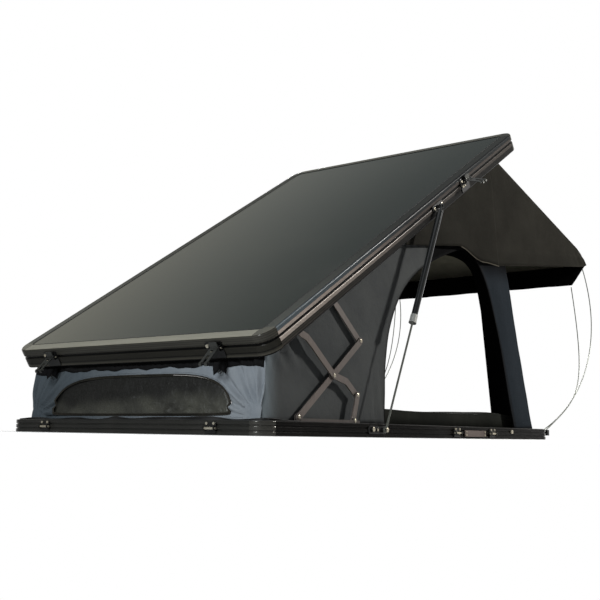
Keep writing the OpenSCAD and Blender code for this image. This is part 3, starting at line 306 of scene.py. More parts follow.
def cloudGroup():  # slow changes of tone: fading, dust, handling
    tree, given, out = shaderGroup("cloud", {"Vector": None, "Size": 4.0, "Low": 0.35, "High": 0.7}, ["Mask"])
    noise = newNode(tree, "ShaderNodeTexNoise", {"Detail": 5.0, "Roughness": 0.6})
    reach = newNode(tree, "ShaderNodeMapRange", interpolation_type="SMOOTHSTEP")
    wire(tree, (given, "Vector", noise, "Vector"), (given, "Size", noise, "Scale"),
         (given, "Low", reach, "From Min"), (given, "High", reach, "From Max"),
         (noise, "Fac", reach, "Value"), (reach, "Result", out, "Mask"))
    return tree


def grainGroup():  # fine streaks or specks of a metal or moulded face
    tree, given, out = shaderGroup("grain", {"Vector": None, "Size": 90.0}, ["Height", "Shade"])
    fine = newNode(tree, "ShaderNodeTexNoise", {"Detail": 4.0, "Roughness": 0.65})
    shade = newNode(tree, "ShaderNodeMapRange",
                    {"From Min": 0.25, "From Max": 0.75, "To Min": 0.82, "To Max": 1.15})
    wire(tree, (given, "Vector", fine, "Vector"), (given, "Size", fine, "Scale"),
         (fine, "Fac", shade, "Value"), (fine, "Fac", out, "Height"), (shade, "Result", out, "Shade"))
    return tree


weave, cloud, grain = weaveGroup(), cloudGroup(), grainGroup()


def tint(red, green, blue):  # a colour as the eye reads it, 0 to 255, as Blender's linear one
    def flat(v):
        v = v / 255.0
        return v / 12.92 if v <= 0.04045 else ((v + 0.055) / 1.055) ** 2.4

    return (flat(red), flat(green), flat(blue), 1.0)


finishes = {}


def startFinish(name, **values):
    finish = bpy.data.materials.new(name)
    finish.use_nodes = True
    skin = finish.node_tree.nodes["Principled BSDF"]
    for key, value in values.items():
        skin.inputs[key.replace("_", " ")].default_value = value
    finishes[name] = finish
    return finish.node_tree, skin


def feed(tree, skin, **values):
    for key, value in values.items():
        tree.links.new(value, skin.inputs[key.replace("_", " ")])


def placeGroup(tree, group, where, **values):
    made = newNode(tree, "ShaderNodeGroup", values, node_tree=group)
    tree.links.new(where, made.inputs["Vector"])
    return made


def blendColour(tree, factor, first, second, kind="MIX"):
    made = newNode(tree, "ShaderNodeMix", data_type="RGBA", blend_type=kind)
    for socket, value in (("Factor", factor), ("A", first), ("B", second)):
        if isinstance(value, (tuple, float)):
            made.inputs[socket].default_value = value
        else:
            tree.links.new(value, made.inputs[socket])
    return made.outputs["Result"]


def spread(tree, value, low, high):  # a 0 to 1 value moved into a range
    made = newNode(tree, "ShaderNodeMapRange", {"To Min": low, "To Max": high})
    tree.links.new(value, made.inputs["Value"])
    return made.outputs["Result"]


def bumpOf(tree, height, strength, depth, below=None):
    made = newNode(tree, "ShaderNodeBump", {"Strength": strength, "Distance": depth})
    tree.links.new(height, made.inputs["Height"])
    if below is not None:
        tree.links.new(below, made.inputs["Normal"])
    return made.outputs["Normal"]


def turned(tree, source, stretch, angle=0.0):  # Object coordinates along a piece
    made = newNode(tree, "ShaderNodeMapping", {"Rotation": (0, angle, 0), "Scale": stretch})
    tree.links.new(source, made.inputs["Vector"])
    return made.outputs["Vector"]


def metalFinish(name, colour, worn, rough, metallic, size, bump, stretch=(1, 1, 1), coat=0.0, level=0.5,
                patch=3.0):
    tree, skin = startFinish(name, Metallic=metallic, Specular_IOR_Level=level, Coat_Weight=coat,
                             Coat_Roughness=0.08)
    where = newNode(tree, "ShaderNodeTexCoord").outputs["Object"]
    streak = placeGroup(tree, grain, turned(tree, where, stretch), Size=size)
    dull = placeGroup(tree, cloud, where, Size=patch, Low=0.42, High=0.68)
    base = blendColour(tree, dull.outputs["Mask"], tint(*colour), tint(*worn))
    shaded = blendColour(tree, 1.0, base, streak.outputs["Shade"], "MULTIPLY")
    dulled = spread(tree, dull.outputs["Mask"], rough, min(1.0, rough * 1.35))
    feed(tree, skin, Base_Color=shaded, Roughness=dulled,
         Normal=bumpOf(tree, streak.outputs["Height"], bump, 0.0006))


# The rail bands paint light as well as colour: a painted-shade underside and slot, ribs with painted
# highlight crests over painted-shade valleys, and a painted bluish reflection on the long rails' ribs. The
# long rails' faces are painted far lighter than the end rails' faces, and the end rails' top rim far lighter
# than the long rails' top rim, as lit and shaded copies of one finish.
sideEdge = {  # the lid's long rails, by share of their height: each band's start, end and colour
    "bands": [(0.0, 0.09, (15, 14, 13)),  # underside, in painted shade
              (0.11, 0.16, (36, 34, 31)),  # lower lip
              (0.18, 0.19, (20, 19, 17)),
              (0.22, 0.27, (35, 33, 30)),  # rib
              (0.3, 0.315, (14, 13, 12)),
              (0.335, 0.5, (110, 103, 97)),  # lower face
              (0.515, 0.61, (3, 3, 3)),  # slot, in painted shade
              (0.625, 0.76, (113, 105, 99))],  # upper face
    "firstRib": 0.785, "ribPitch": 0.07, "ribRise": 0.04, "ribShade": (36, 41, 44), "ribHighlight": (62, 70, 75),
    "line": (18, 19, 19), "top": (52, 53, 50)}
lowEdge = {  # the rails at the lid's two ends
    "bands": [(0.0, 0.06, (13, 12, 11)),
              (0.08, 0.12, (57, 55, 49)),
              (0.19, 0.2, (38, 37, 33)),
              (0.225, 0.235, (10, 10, 9)),
              (0.27, 0.5, (33, 32, 28)),
              (0.525, 0.6, (3, 3, 3)),
              (0.615, 0.63, (54, 52, 47))],
    "firstRib": 0.7, "ribPitch": 0.095, "ribRise": 0.045, "ribShade": (43, 43, 39), "ribHighlight": (60, 58, 53),
    "line": (36, 36, 32), "top": (142, 139, 126)}
cornerEdge = dict(lowEdge, top=(88, 86, 78))
railLightFade = {"from": 0.1, "length": 0.9}  # metres up the lid over which a rail's painted light darkens


def edgeStops(edge):  # plain bands from the underside up, three fine ribs with painted highlight crests over painted-shade valleys, a line and the top's rim
    stops = [(place, shade) for start, end, shade in edge["bands"] for place in (start, end)]
    for rib in range(3):
        low = edge["firstRib"] + rib * edge["ribPitch"]
        stops += [(low, edge["ribShade"]), (low + edge["ribRise"], edge["ribHighlight"])]
    stops += [(0.98, edge["line"]), (0.988, edge["top"]), (1.0, edge["top"])]
    return [(place, tint(*shade)) for place, shade in stops]


def railFinish(name, edge, stretch, near, far, rough):  # colour by height, times painted light that is brighter at the lid's low end and darker up its length
    tree, skin = startFinish(name, Metallic=0.1, Specular_IOR_Level=0.1)
    where = newNode(tree, "ShaderNodeTexCoord").outputs["Object"]
    origin = toFrame(lidPoint(0.0, 0.0, 0.0))
    upward, along = (-math.sin(lean), 0, math.cos(lean)), (math.cos(lean), 0, math.sin(lean))
    measured = []
    for axis, skip, length, low, high in ((upward, 0.0, shape["lidHeight"] / 1000.0, 0.0, 1.0),
                                          (along, railLightFade["from"], railLightFade["length"], near, far)):
        start = float(np.dot(axis, origin)) + skip
        ruler = newNode(tree, "ShaderNodeVectorMath", {1: axis}, operation="DOT_PRODUCT")
        reach = newNode(tree, "ShaderNodeMapRange", {"From Min": start, "From Max": start + length,
                                                     "To Min": low, "To Max": high})
        tree.links.new(where, ruler.inputs[0])
        wire(tree, (ruler, "Value", reach, "Value"))
        measured.append(reach.outputs["Result"])
    strip = rampNode(tree, edgeStops(edge))
    tree.links.new(measured[0], strip.inputs["Fac"])
    streak = placeGroup(tree, grain, turned(tree, where, stretch, lean), Size=160.0)
    base = blendColour(tree, 1.0, strip.outputs["Color"], streak.outputs["Shade"], "MULTIPLY")
    feed(tree, skin, Base_Color=blendColour(tree, 1.0, base, measured[1], "MULTIPLY"),
         Normal=bumpOf(tree, streak.outputs["Height"], 0.05, 0.0006),
         Roughness=spread(tree, streak.outputs["Height"], rough, rough + 0.1))


def clothFinish(name, colour, faded, marks=None, rough=0.85, threads=650.0, patch=5.0, crease=0.35,
                weaveBump=0.25, level=0.02):
    tree, skin = startFinish(name, Specular_IOR_Level=level)
    coords = newNode(tree, "ShaderNodeTexCoord").outputs
    yarn = placeGroup(tree, weave, coords["UV"], Threads=threads)
    fade = placeGroup(tree, cloud, coords["Object"], Size=patch, Low=0.3, High=0.75)
    soft = placeGroup(tree, cloud, coords["Object"], Size=24.0, Low=0.2, High=0.85)
    base = blendColour(tree, fade.outputs["Mask"], tint(*colour), tint(*faded))
    for label, other in (marks or {}).items():  # painted on the points
        mark = newNode(tree, "ShaderNodeAttribute", attribute_name=label)
        base = blendColour(tree, mark.outputs["Fac"], base, tint(*other))
    shaded = blendColour(tree, 1.0, base, yarn.outputs["Shade"], "MULTIPLY")
    low = bumpOf(tree, soft.outputs["Mask"], crease, 0.004)
    feed(tree, skin, Base_Color=shaded, Normal=bumpOf(tree, yarn.outputs["Height"], weaveBump, 0.0004, low),
         Roughness=spread(tree, fade.outputs["Mask"], rough - 0.08, rough + 0.06))


metals = {  # colour, worn colour, roughness, metal, grain size, bump, then what is special
    "lidPaint": ((36, 38, 34), (42, 44, 39), 0.13, 0.0, 260.0, 0.012, {"level": 0.55, "patch": 1.2}),
    "baseRail": ((14, 13, 12), (20, 19, 18), 0.17, 0.0, 160.0, 0.05,
                 {"stretch": (0.05, 1, 1), "level": 0.08}),
    "baseEnd": ((38, 38, 35), (46, 45, 42), 0.3, 0.4, 160.0, 0.05, {"stretch": (1, 0.05, 1)}),
    "casting": ((66, 65, 61), (50, 49, 46), 0.22, 0.6, 220.0, 0.12, {}),
    "floorBoard": ((34, 34, 35), (44, 43, 42), 0.6, 0.0, 120.0, 0.15, {}),
    "channel": ((130, 130, 132), (112, 112, 113), 0.4, 0.85, 180.0, 0.05, {"stretch": (0.04, 1, 1)}),
    "foamCore": ((190, 188, 180), (175, 172, 164), 0.9, 0.0, 150.0, 0.3, {}),
    "gumSeal": ((22, 22, 22), (34, 33, 32), 0.62, 0.0, 150.0, 0.15, {}),
    "bracket": ((11, 11, 11), (19, 19, 18), 0.34, 0.2, 200.0, 0.12, {}),
    "hingeBar": ((98, 90, 85), (80, 73, 69), 0.34, 0.2, 110.0, 0.08, {"stretch": (1, 1, 0.3)}),
    "hingeFoot": ((72, 66, 62), (56, 51, 48), 0.36, 0.2, 130.0, 0.1, {}),
    "rivet": ((206, 199, 180), (176, 168, 148), 0.24, 0.7, 300.0, 0.05, {}),
    "hookPlate": ((98, 87, 82), (80, 71, 67), 0.45, 0.4, 140.0, 0.12, {}),
    "lever": ((66, 67, 64), (50, 51, 49), 0.3, 0.6, 170.0, 0.08, {"stretch": (1, 1, 0.2)}),
    "strutRod": ((122, 124, 117), (104, 106, 100), 0.18, 0.6, 300.0, 0.02, {}),
    "strutTube": ((28, 30, 31), (36, 38, 39), 0.12, 0.0, 200.0, 0.02, {"coat": 0.8}),
    "collar": ((186, 186, 182), (150, 150, 147), 0.24, 0.5, 240.0, 0.06, {}),
    "wire": ((112, 116, 108), (88, 92, 86), 0.34, 0.6, 200.0, 0.03, {}),
}
for metalName, (*row, special) in metals.items():
    metalFinish(metalName, *row, **special)
# near and far scale each rail's colour as painted light, near at the lid's low end and far up its length
railFinish("lidRail", sideEdge, (0.05, 1, 1), near=1.9, far=0.26, rough=0.24)
railFinish("lidEnd", lowEdge, (1, 0.05, 1), near=1.0, far=0.7, rough=0.28)
railFinish("lidCorner", cornerEdge, (1, 1, 1), near=1.15, far=0.7, rough=0.14)
# the front cloth's tone mark is painted shade towards the wall's far side
clothFinish("frontCloth", (124, 129, 133), (110, 117, 124), {"tone": (56, 64, 69)}, crease=0.4)
# the side cloth's near-black mark on the wall's upper rear is a painted shadow under the skirt and hood
clothFinish("sideCloth", (72, 74, 74), (65, 67, 68), crease=0.3,
            marks={"tone": (112, 122, 128), "dusk": (36, 41, 46), "skirtShadow": (8, 8, 9), "trim": (24, 24, 25)})
clothFinish("rearCloth", (13, 13, 14), (18, 18, 19))
clothFinish("hoodCloth", (38, 37, 33), (33, 32, 29), {"trim": (28, 27, 24)}, crease=0.3)
# a lighter copy of the hood cloth for its inner side: painted light on the hood's shaded underside
clothFinish("hoodUndersideLit", (92, 91, 80), (80, 79, 70), crease=0.3)
clothFinish("netCloth", (64, 64, 57), (38, 38, 34), {"tone": (20, 20, 18)}, rough=0.45, threads=450.0,
            level=0.3, patch=9.0, crease=0.9, weaveBump=0.5)
clothFinish("liningCloth", (72, 74, 77), (62, 64, 67), threads=500.0)
clothFinish("mattressCloth", (32, 33, 30), (26, 27, 25), threads=420.0)
clothFinish("hemTape", (96, 92, 83), (76, 72, 65), threads=900.0)
clothFinish("hemDark", (44, 42, 38), (36, 34, 31), threads=900.0)
clothFinish("zipTape", (52, 50, 45), (36, 35, 32), threads=900.0)
clothFinish("blackTape", (18, 18, 19), (26, 26, 26), threads=900.0)
clothFinish("thread", (60, 62, 66), (48, 50, 53), threads=2000.0)


def bothSides(*names):
    return [name + "_" + word for name in names for word, side in sides]


nodeFinish = {
    "baseRail": bothSides("base_rail"),
    "baseEnd": ["base_rail_low", "base_rail_high"],
    "casting": ["base_corners"],
    "lidCorner": ["lid_corners"],
    "lidRail": bothSides("lid_rail"),
    "lidEnd": ["lid_rail_low", "lid_rail_high"],
    "lidPaint": ["lid_skin"],
    "floorBoard": ["floor_panel"],
    "channel": ["mounting_rails"],
    "foamCore": ["lid_core"],
    "gumSeal": ["base_seal"],
    "bracket": ["latch_keepers", "latch_brackets", "strut_feet", "strut_heads", "rod_sockets"],
    "hingeFoot": bothSides("hinge_base", "hinge_lid"),
    "hingeBar": bothSides("main_arm", "cross_arm", "lower_link", "upper_link"),
    "rivet": ["keeper_pins", "latch_pins", "base_screws"],
    "hookPlate": ["ladder_plates"],
    "lever": bothSides("lever_low", "lever_high", "lever_side"),
    "strutRod": bothSides("strut_rod"),
    "strutTube": bothSides("strut_tube"),
}
for finishName, names in nodeFinish.items():
    for nodeName in names:
        nodes[nodeName].data.materials.clear()
        nodes[nodeName].data.materials.append(finishes[finishName])
print("tent: finishes made and the frame painted")


# Making sheets of cloth and other pieces
def addPiece(name, mesh, finish):
    mesh.materials.clear()
    mesh.materials.append(finishes[finish])
    return addObject(name, mesh)


def sheetMesh(name, points, flat, out, wrap, marks):
    rows, cols = points.shape[:2]
    faces = []
    for i in range(rows if wrap else rows - 1):
        k = (i + 1) % rows
        for j in range(cols - 1):
            faces.append((i * cols + j, k * cols + j, k * cols + j + 1, i * cols + j + 1))
    verts = toFrame(points.reshape(-1, 3))
    a, b, c = (verts[[f[n] for f in faces]] for n in (0, 1, 2))
    if float((np.cross(b - a, c - a) @ np.asarray(out, float)).sum()) < 0:
        faces = [tuple(reversed(f)) for f in faces]
    mesh = bpy.data.meshes.new(name)
    mesh.from_pydata(verts.tolist(), [], faces)
    mesh.polygons.foreach_set("use_smooth", [True] * len(faces))
    layer = mesh.uv_layers.new(name="cut")
    corner = np.array([v for f in faces for v in f])
    layer.data.foreach_set("uv", (flat.reshape(-1, 2)[corner] / 1000.0).ravel())
    for label, value in (marks or {}).items():
        spot = mesh.attributes.new(label, "FLOAT", "POINT")
        spot.data.foreach_set("value", np.broadcast_to(value, (rows, cols)).ravel().astype(np.float32))
    mesh.update()
    return mesh


def addSheet(name, points, flat, out, finish, thick=shape["clothThick"], wrap=False, marks=None):
    piece = addPiece(name, sheetMesh(name, points, flat, out, wrap, marks), finish)
    wall = piece.modifiers.new("clothThick", "SOLIDIFY")
    wall.thickness = thick / 1000.0
    wall.offset = 0.0
    wall.use_even_offset = False
    return piece


# Geometry trees: swept tubes, stitches along a line, rivet heads on points
def geometryTree(name, inputs):
    tree = bpy.data.node_groups.new(name, "GeometryNodeTree")
    face = tree.interface.new_socket
    face(name="Geometry", in_out="INPUT", socket_type="NodeSocketGeometry")
    for label, value in inputs.items():
        kind = "NodeSocketInt" if isinstance(value, int) else "NodeSocketFloat"
        face(name=label, in_out="INPUT", socket_type=kind).default_value = value
    face(name="Finish", in_out="INPUT", socket_type="NodeSocketMaterial")
    face(name="Geometry", in_out="OUTPUT", socket_type="NodeSocketGeometry")
    return tree, newNode(tree, "NodeGroupInput"), newNode(tree, "NodeGroupOutput")


def endTree(tree, last, output, given, out):
    solid = newNode(tree, "GeometryNodeRealizeInstances")
    paint = newNode(tree, "GeometryNodeSetMaterial")
    wire(tree, (last, output, solid, "Geometry"), (solid, "Geometry", paint, "Geometry"),
         (given, "Finish", paint, "Material"), (paint, "Geometry", out, "Geometry"))
    return tree


def tubeTree():
    tree, given, out = geometryTree("sweptTube", {"Radius": 0.0025, "Sides": 10})
    line = newNode(tree, "GeometryNodeMeshToCurve")
    ring = newNode(tree, "GeometryNodeCurvePrimitiveCircle", mode="RADIUS")
    sweep = newNode(tree, "GeometryNodeCurveToMesh", {"Fill Caps": True})
    even = newNode(tree, "GeometryNodeSetShadeSmooth")
    wire(tree, (given, "Geometry", line, "Mesh"), (given, "Radius", ring, "Radius"),
         (given, "Sides", ring, "Resolution"), (line, "Curve", sweep, "Curve"),
         (ring, "Curve", sweep, "Profile Curve"), (sweep, "Mesh", even, "Geometry"))
    return endTree(tree, even, "Geometry", given, out)


def stitchTree():
    tree, given, out = geometryTree("stitchRow", {"Pitch": 0.008, "Length": 0.0045, "Radius": 0.0005})
    line = newNode(tree, "GeometryNodeMeshToCurve")
    spots = newNode(tree, "GeometryNodeCurveToPoints", mode="LENGTH")
    stitch = newNode(tree, "GeometryNodeMeshCylinder", {"Vertices": 6}, fill_type="TRIANGLE_FAN")
    put = newNode(tree, "GeometryNodeInstanceOnPoints")
    wire(tree, (given, "Geometry", line, "Mesh"), (line, "Curve", spots, "Curve"),
         (given, "Pitch", spots, "Length"), (given, "Radius", stitch, "Radius"),
         (given, "Length", stitch, "Depth"), (spots, "Points", put, "Points"),
         (spots, "Rotation", put, "Rotation"), (stitch, "Mesh", put, "Instance"))
    return endTree(tree, put, "Instances", given, out)


def headTree():
    tree, given, out = geometryTree("rivetHeads", {"Radius": 0.008, "Height": 0.0008})
    top = newNode(tree, "ShaderNodeMath", {1: 0.72}, operation="MULTIPLY")
    head = newNode(tree, "GeometryNodeMeshCone", {"Vertices": 20})
    facing = newNode(tree, "GeometryNodeInputNamedAttribute", {"Name": "facing"}, data_type="FLOAT_VECTOR")
    turn = newNode(tree, "FunctionNodeAlignRotationToVector", axis="Z")
    put = newNode(tree, "GeometryNodeInstanceOnPoints")
    wire(tree, (given, "Radius", top, 0), (given, "Radius", head, "Radius Bottom"),
         (top, 0, head, "Radius Top"), (given, "Height", head, "Depth"),
         (facing, "Attribute", turn, "Vector"), (given, "Geometry", put, "Points"),
         (turn, "Rotation", put, "Rotation"), (head, "Mesh", put, "Instance"))
    return endTree(tree, put, "Instances", given, out)


tubes, stitches, heads = tubeTree(), stitchTree(), headTree()


def growTree(name, source, tree, **values):
    step = source.modifiers.new("tree", "NODES")
    step.node_group = tree
    for item in tree.interface.items_tree:
        if item.item_type == "SOCKET" and item.in_out == "INPUT" and item.name in values:
            step[item.identifier] = values[item.name]
    source.update_tag()
    bpy.context.view_layer.update()
    ready = source.evaluated_get(bpy.context.evaluated_depsgraph_get())
    mesh = bpy.data.meshes.new_from_object(ready)
    mesh.name = name
    bpy.data.objects.remove(source, do_unlink=True)
    return addObject(name, mesh)


def pathObject(name, paths, closed):
    verts, edges = [], []
    for path in paths:
        first = len(verts)
        verts += toFrame(path).tolist()
        edges += [(first + i, first + i + 1) for i in range(len(path) - 1)]
        if closed:
            edges.append((first + len(path) - 1, first))
    mesh = bpy.data.meshes.new(name)
    mesh.from_pydata(verts, edges, [])
    return addObject(name, mesh)


def tubeAlong(name, paths, radius, finish, sides=8, closed=False):
    line = pathObject(name + "Line", paths, closed)
    return growTree(name, line, tubes, Radius=radius / 1000.0, Sides=sides, Finish=finishes[finish])


def onBase(piece):  # stands on the base
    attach(piece, "base")
    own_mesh(piece)


def onWalls(piece):
    onBase(piece)


def onLid(piece):  # hangs from the lid
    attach(piece, "lid")
    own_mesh(piece)


def settle(piece, place, node=None):  # place: a body's name, or how the piece rides
    if node:
        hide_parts(node)
    if isinstance(place, str):
        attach(piece, place)
    else:
        place(piece)


# Front wall with its low arched window
frontWall = {"foot": 52.0, "top": (84.9, 347.1), "half": 594.0, "rimPower": 0.62, "rimCorner": 6 * 360 / 56,
             "around": 256, "across": 36}
frontFolds = {"belly": 4.0, "fan": 15.0, "fanFoot": 58.0, "fanReach": 190.0, "gather": 1.6,
              "gatherPitch": 34.0, "gatherHeight": 238.0, "gatherSpread": 26.0, "crumple": 0.8}
window = {"half": 460.0, "height": 138.0, "foot": 72.0, "square": 0.5, "arch": 0.75, "sag": 0.06,
          "centre": (0.0, 130.0), "tuck": -7.5, "off": 2.5, "thick": 0.6, "wrinkle": 3.2, "crease": 4.0,
          "fan": 2.2, "pipes": (-1.2, -6.3), "pipeRadius": 2.3, "seam": 7.0, "around": 200, "across": 26,
          "edgeSteps": 220}


def turnsOf(count):
    return np.arange(count) * 360.0 / count


def windowEdge(a, grow):
    c, s = cosDeg(a), sinDeg(a)
    y = (window["half"] + grow) * np.sign(c) * np.abs(c) ** window["square"]
    low = -window["sag"] * window["height"] * np.abs(np.minimum(s, 0)) ** 0.5
    high = (window["height"] + 2 * grow) * np.abs(np.maximum(s, 0)) ** window["arch"]
    return pile(y, window["foot"] - grow + np.where(s < 0, low, high))


def wallRim(a):
    corner, power = frontWall["rimCorner"], frontWall["rimPower"]
    c, s = cosDeg(a), sinDeg(a)
    foot, top, edge = shape["clothFoot"], frontWall["top"][1], frontWall["half"] * np.sign(c)
    below = pile(edge * np.abs(c) ** power, foot)
    beside = pile(edge, mix(foot, top, np.clip(s / sinDeg(corner), 0, 1)))
    above = pile(edge * (np.abs(c) / cosDeg(corner)) ** power, top)
    flat = np.where((s < sinDeg(corner) - 0.001)[:, None], beside, above)
    return np.where((s < -1e-9)[:, None], below, flat)


def frontShare(z):
    return (z - shape["clothFoot"]) / (frontWall["top"][1] - shape["clothFoot"])


def frontPlace(z):
    return mix(frontWall["foot"], frontWall["top"][0], frontShare(z))


def frontFold(y, z):
    arch = np.sin(math.pi * np.clip(frontShare(z), 0, 1))
    fold = frontFolds["belly"] * sinDeg(y * 1.9 + z * 1.1) * (np.abs(y) / frontWall["half"]) ** 2 * arch
    for side in (-1, 1):  # creases fan out from the bottom corners
        dy, dz = side * frontWall["half"] * 0.985 - y, z - frontFolds["fanFoot"]
        reach = np.hypot(dy, dz)
        turn = np.arctan2(dz, side * dy + 1e-6)
        fan = np.sin(turn * 21.0 + 0.7 * side) + 0.5 * np.sin(turn * 37.0 + 1.3)
        fan = frontFolds["fan"] * fan * smooth(reach, 15, 90)
        fold = fold + fan * np.exp(-reach / frontFolds["fanReach"])
    gather = wave(y, frontFolds["gatherPitch"], 2.0 * np.sin(y / 90.0))
    gather = gather * hump(z, frontFolds["gatherHeight"], frontFolds["gatherSpread"])
    return fold + frontFolds["gather"] * gather + frontFolds["crumple"] * crumple(y, z, 120.0, 1.0)


def onFront(y, z, off, share=1.0):  # a point of the folded front wall, or a little off it
    return pile(frontPlace(z) + off + frontFold(y, z) * share, y, z)


def makeFrontWall():
    a = turnsOf(frontWall["around"])
    t = np.linspace(0, 1, frontWall["across"])[None, :, None]
    flat = mix(windowEdge(a, 0)[:, None], wallRim(a)[:, None], t)
    points = onFront(flat[..., 0], flat[..., 1], shape["clothInset"])
    # painted shade: the wall darkens across its width towards its far side
    shade = smooth(flat[..., 0], -520, 520) * 0.85
    wall = addSheet("frontWall", points, flat, (-1, 0, 0), "frontCloth", wrap=True, marks={"tone": shade})
    settle(wall, onWalls, "front_wall")


def makeWindow():
    t = np.linspace(0, 1, window["across"])[None, :, None] ** 0.8
    edge = windowEdge(turnsOf(window["around"]), window["tuck"])
    flat = mix(np.array(window["centre"]), edge[:, None], t)
    y, z = flat[..., 0], flat[..., 1]
    slack = 0.8 * np.sin(math.pi * t[..., 0]) ** 0.5
    loose = hump(z, 85, 30.0) * (0.5 + smooth(-y, -100, 300))
    wrinkle = window["wrinkle"] * crumple(y, z * 1.7, 95.0, 3.0) * (0.3 + loose)
    wrinkle = wrinkle + window["crease"] * crumple(y + 0.8 * z, z * 1.4, 44.0, 5.0) * loose
    fan = np.sin(np.arctan2(z - 60, -440 - y) * 26) * np.exp(-np.hypot(y + 440, z - 66) / 110.0)
    points = pile(frontPlace(z) + window["off"] + (wrinkle + window["fan"] * fan) * slack, y, z)
    dark = smooth(z + 14 * crumple(y, z, 150.0, 2.0) + 0.05 * y, 88, 150)
    net = addSheet("windowNet", points, flat, (-1, 0, 0), "netCloth", window["thick"], True, {"tone": dark})
    settle(net, onWalls, "window_mesh")
    a = turnsOf(window["edgeSteps"])
    lines = [onFront(*windowEdge(a, grow).T, -0.6, 0.7) for grow in window["pipes"]]
    piping = tubeAlong("windowPiping", lines, window["pipeRadius"], "zipTape", closed=True)
    settle(piping, onWalls, "window_piping")
    seam = pathObject("windowSeam", [onFront(*windowEdge(a, window["seam"]).T, 0.5)], True)
    settle(growTree("windowStitches", seam, stitches, Finish=finishes["thread"]), onWalls)


# Black strip along the top of the front wall, loose at its lower edge
topBand = {"half": 590.0, "foot": 231.0, "head": 335.0, "off": -2.2, "thick": 1.2, "rows": 300,
           "across": 12}


def makeTopBand():
    s, t = grid(topBand, -1)
    y = s * topBand["half"]
    low = topBand["foot"] + 3 * np.sin(y / 31.0) + 2 * np.sin(y / 13.0 + 1) - 9 * smooth(np.abs(y), 450, 590)
    points = onFront(y, mix(low, topBand["head"], t), topBand["off"])
    strip = addSheet("frontBand", points, points[..., 1:], (-1, 0, 0), "blackTape", topBand["thick"])
    settle(strip, onWalls)


makeFrontWall()
makeTopBand()
makeWindow()
print("tent: front wall and window sewn")


# Side walls round their arched doors
sideWall = {"doorLeft": [[795, 40.3], [795, 480], [850, 640], [1333, 800]],
            "doorRight": [[1333, 800], [1593, 900], [1663, 629], [1868, 40.3]],
            "rearFoot": 2040.0, "rearLean": 0.346, "frontGap": 9.0, "frontFlare": 14.0, "rearFlare": 18.0,
            "steps": 44, "across": 40, "edgeRadius": 2.0}
sideFolds = {"fold": 5.0, "pleat": 6.5, "pleatPitch": 48.0, "pleatAt": 742.0, "corner": 9.0,
             "cornerPitch": 46.0, "cornerReach": 60.0, "hung": 11.0, "hungPitch": 74.0, "hungAt": 190.0,
             "hungSpread": 90.0, "column": 1.6, "crumple": 0.9}


def rearLine(z):
    return sideWall["rearFoot"] - sideWall["rearLean"] * (z - shape["floorTop"])


rearTopZ = (lidLine(0, shape["clothTop"]) + (sideWall["rearFoot"] + sideWall["rearLean"] * shape["floorTop"])
            * math.tan(lean)) / (1 + sideWall["rearLean"] * math.tan(lean)) - 3.0


def sideFold(x, z):
    k = sideFolds
    up = sinDeg(np.clip((z - shape["floorTop"]) * 0.3, 0, 180))
    fold = k["fold"] * (0.5 + 0.5 * sinDeg(x * 0.55 + z * 0.12)) * up
    pleat = k["pleat"] * wave(x - 640 + 0.12 * z, k["pleatPitch"]) * hump(x, k["pleatAt"], k["pleatPitch"])
    pleat = pleat * smooth(z, 44, 90) * (1 - smooth(z, 150, 330))
    corner = k["corner"] * wave(x + 0.25 * z, k["cornerPitch"]) * smooth(z, 44, 110)
    corner = corner * np.exp(-np.maximum(x - 60, 0) / k["cornerReach"])
    hung = k["hung"] * wave(x + 0.75 * z, k["hungPitch"]) * hump(x, k["hungAt"], k["hungSpread"])
    hung = hung * smooth(z, 190, 300)
    column = k["column"] * crumple(0.3 * x, z + 0.2 * x, 240.0, 3.0) * smooth(x, 1560, 1700) * up
    return fold + pleat + corner + hung + column + k["crumple"] * crumple(x, z, 210.0, 2.0)


def makeSideWall(name, node, side):
    n, foot, gap = sideWall["steps"], shape["clothFoot"], sideWall["frontGap"]
    topX = frontWall["top"][0] + gap
    inner = np.concatenate([bezier(sideWall["doorLeft"], np.arange(2 * n) / (2 * n)),
                            bezier(sideWall["doorRight"], np.arange(2 * n + 1) / (2 * n))])
    frontFoot, frontTop = (frontWall["foot"] + gap, foot), (topX, lidLine(topX, shape["clothTop"]))
    rearTop, rearFoot = (rearLine(rearTopZ) - 3, rearTopZ - 4), (sideWall["rearFoot"] - 3, foot)
    outer = np.concatenate([run(frontFoot, frontTop, n), run(frontTop, rearTop, 2 * n),
                            run(rearTop, rearFoot, n, 1)])
    flat = mix(inner[:, None], outer[:, None], np.linspace(0, 1, sideWall["across"])[None, :, None])
    x, z = flat[..., 0], flat[..., 1]
    flare = sideWall["frontFlare"] * np.exp(-np.maximum(x - frontWall["foot"], 0) / 50.0)
    flare = flare + sideWall["rearFlare"] * smooth(x + sideWall["rearLean"] * z, 1820, 1960)
    points = pile(x, side * (shape["wallHalf"] - shape["clothInset"] - sideFold(x, z) + flare), z)
    tape = 1 - smooth(np.linalg.norm(flat - inner[:, None], axis=-1), 14, 20)
    # the wall is painted darker along its foot, just above the base
    footBand = 1 - smooth(z + 3 * crumple(x, z, 70.0, 4.0), 52, 62)
    marks = {"trim": np.maximum(tape * 0.55, footBand), "tone": (1 - smooth(x, 62, 170)) * 0.9,
             "dusk": smooth(x, 1480, 1620),
             # painted shadow under the skirt and hood, near-black over the wall's upper rear
             "skirtShadow": smooth(x, 1075, 1150) * smooth(z - mix(600, 690, smooth(x, 1150, 1500)), 0, 110)}
    wall = addSheet(name, points, flat, (0, side, 0), "sideCloth", marks=marks)
    settle(wall, onWalls, node)
    edge = tubeAlong(name + "DoorEdge", [points[1:-1, 0]], sideWall["edgeRadius"], "blackTape")
    settle(edge, onWalls)


for word, side in sides:
    makeSideWall(word + "Wall", word + "_wall", side)

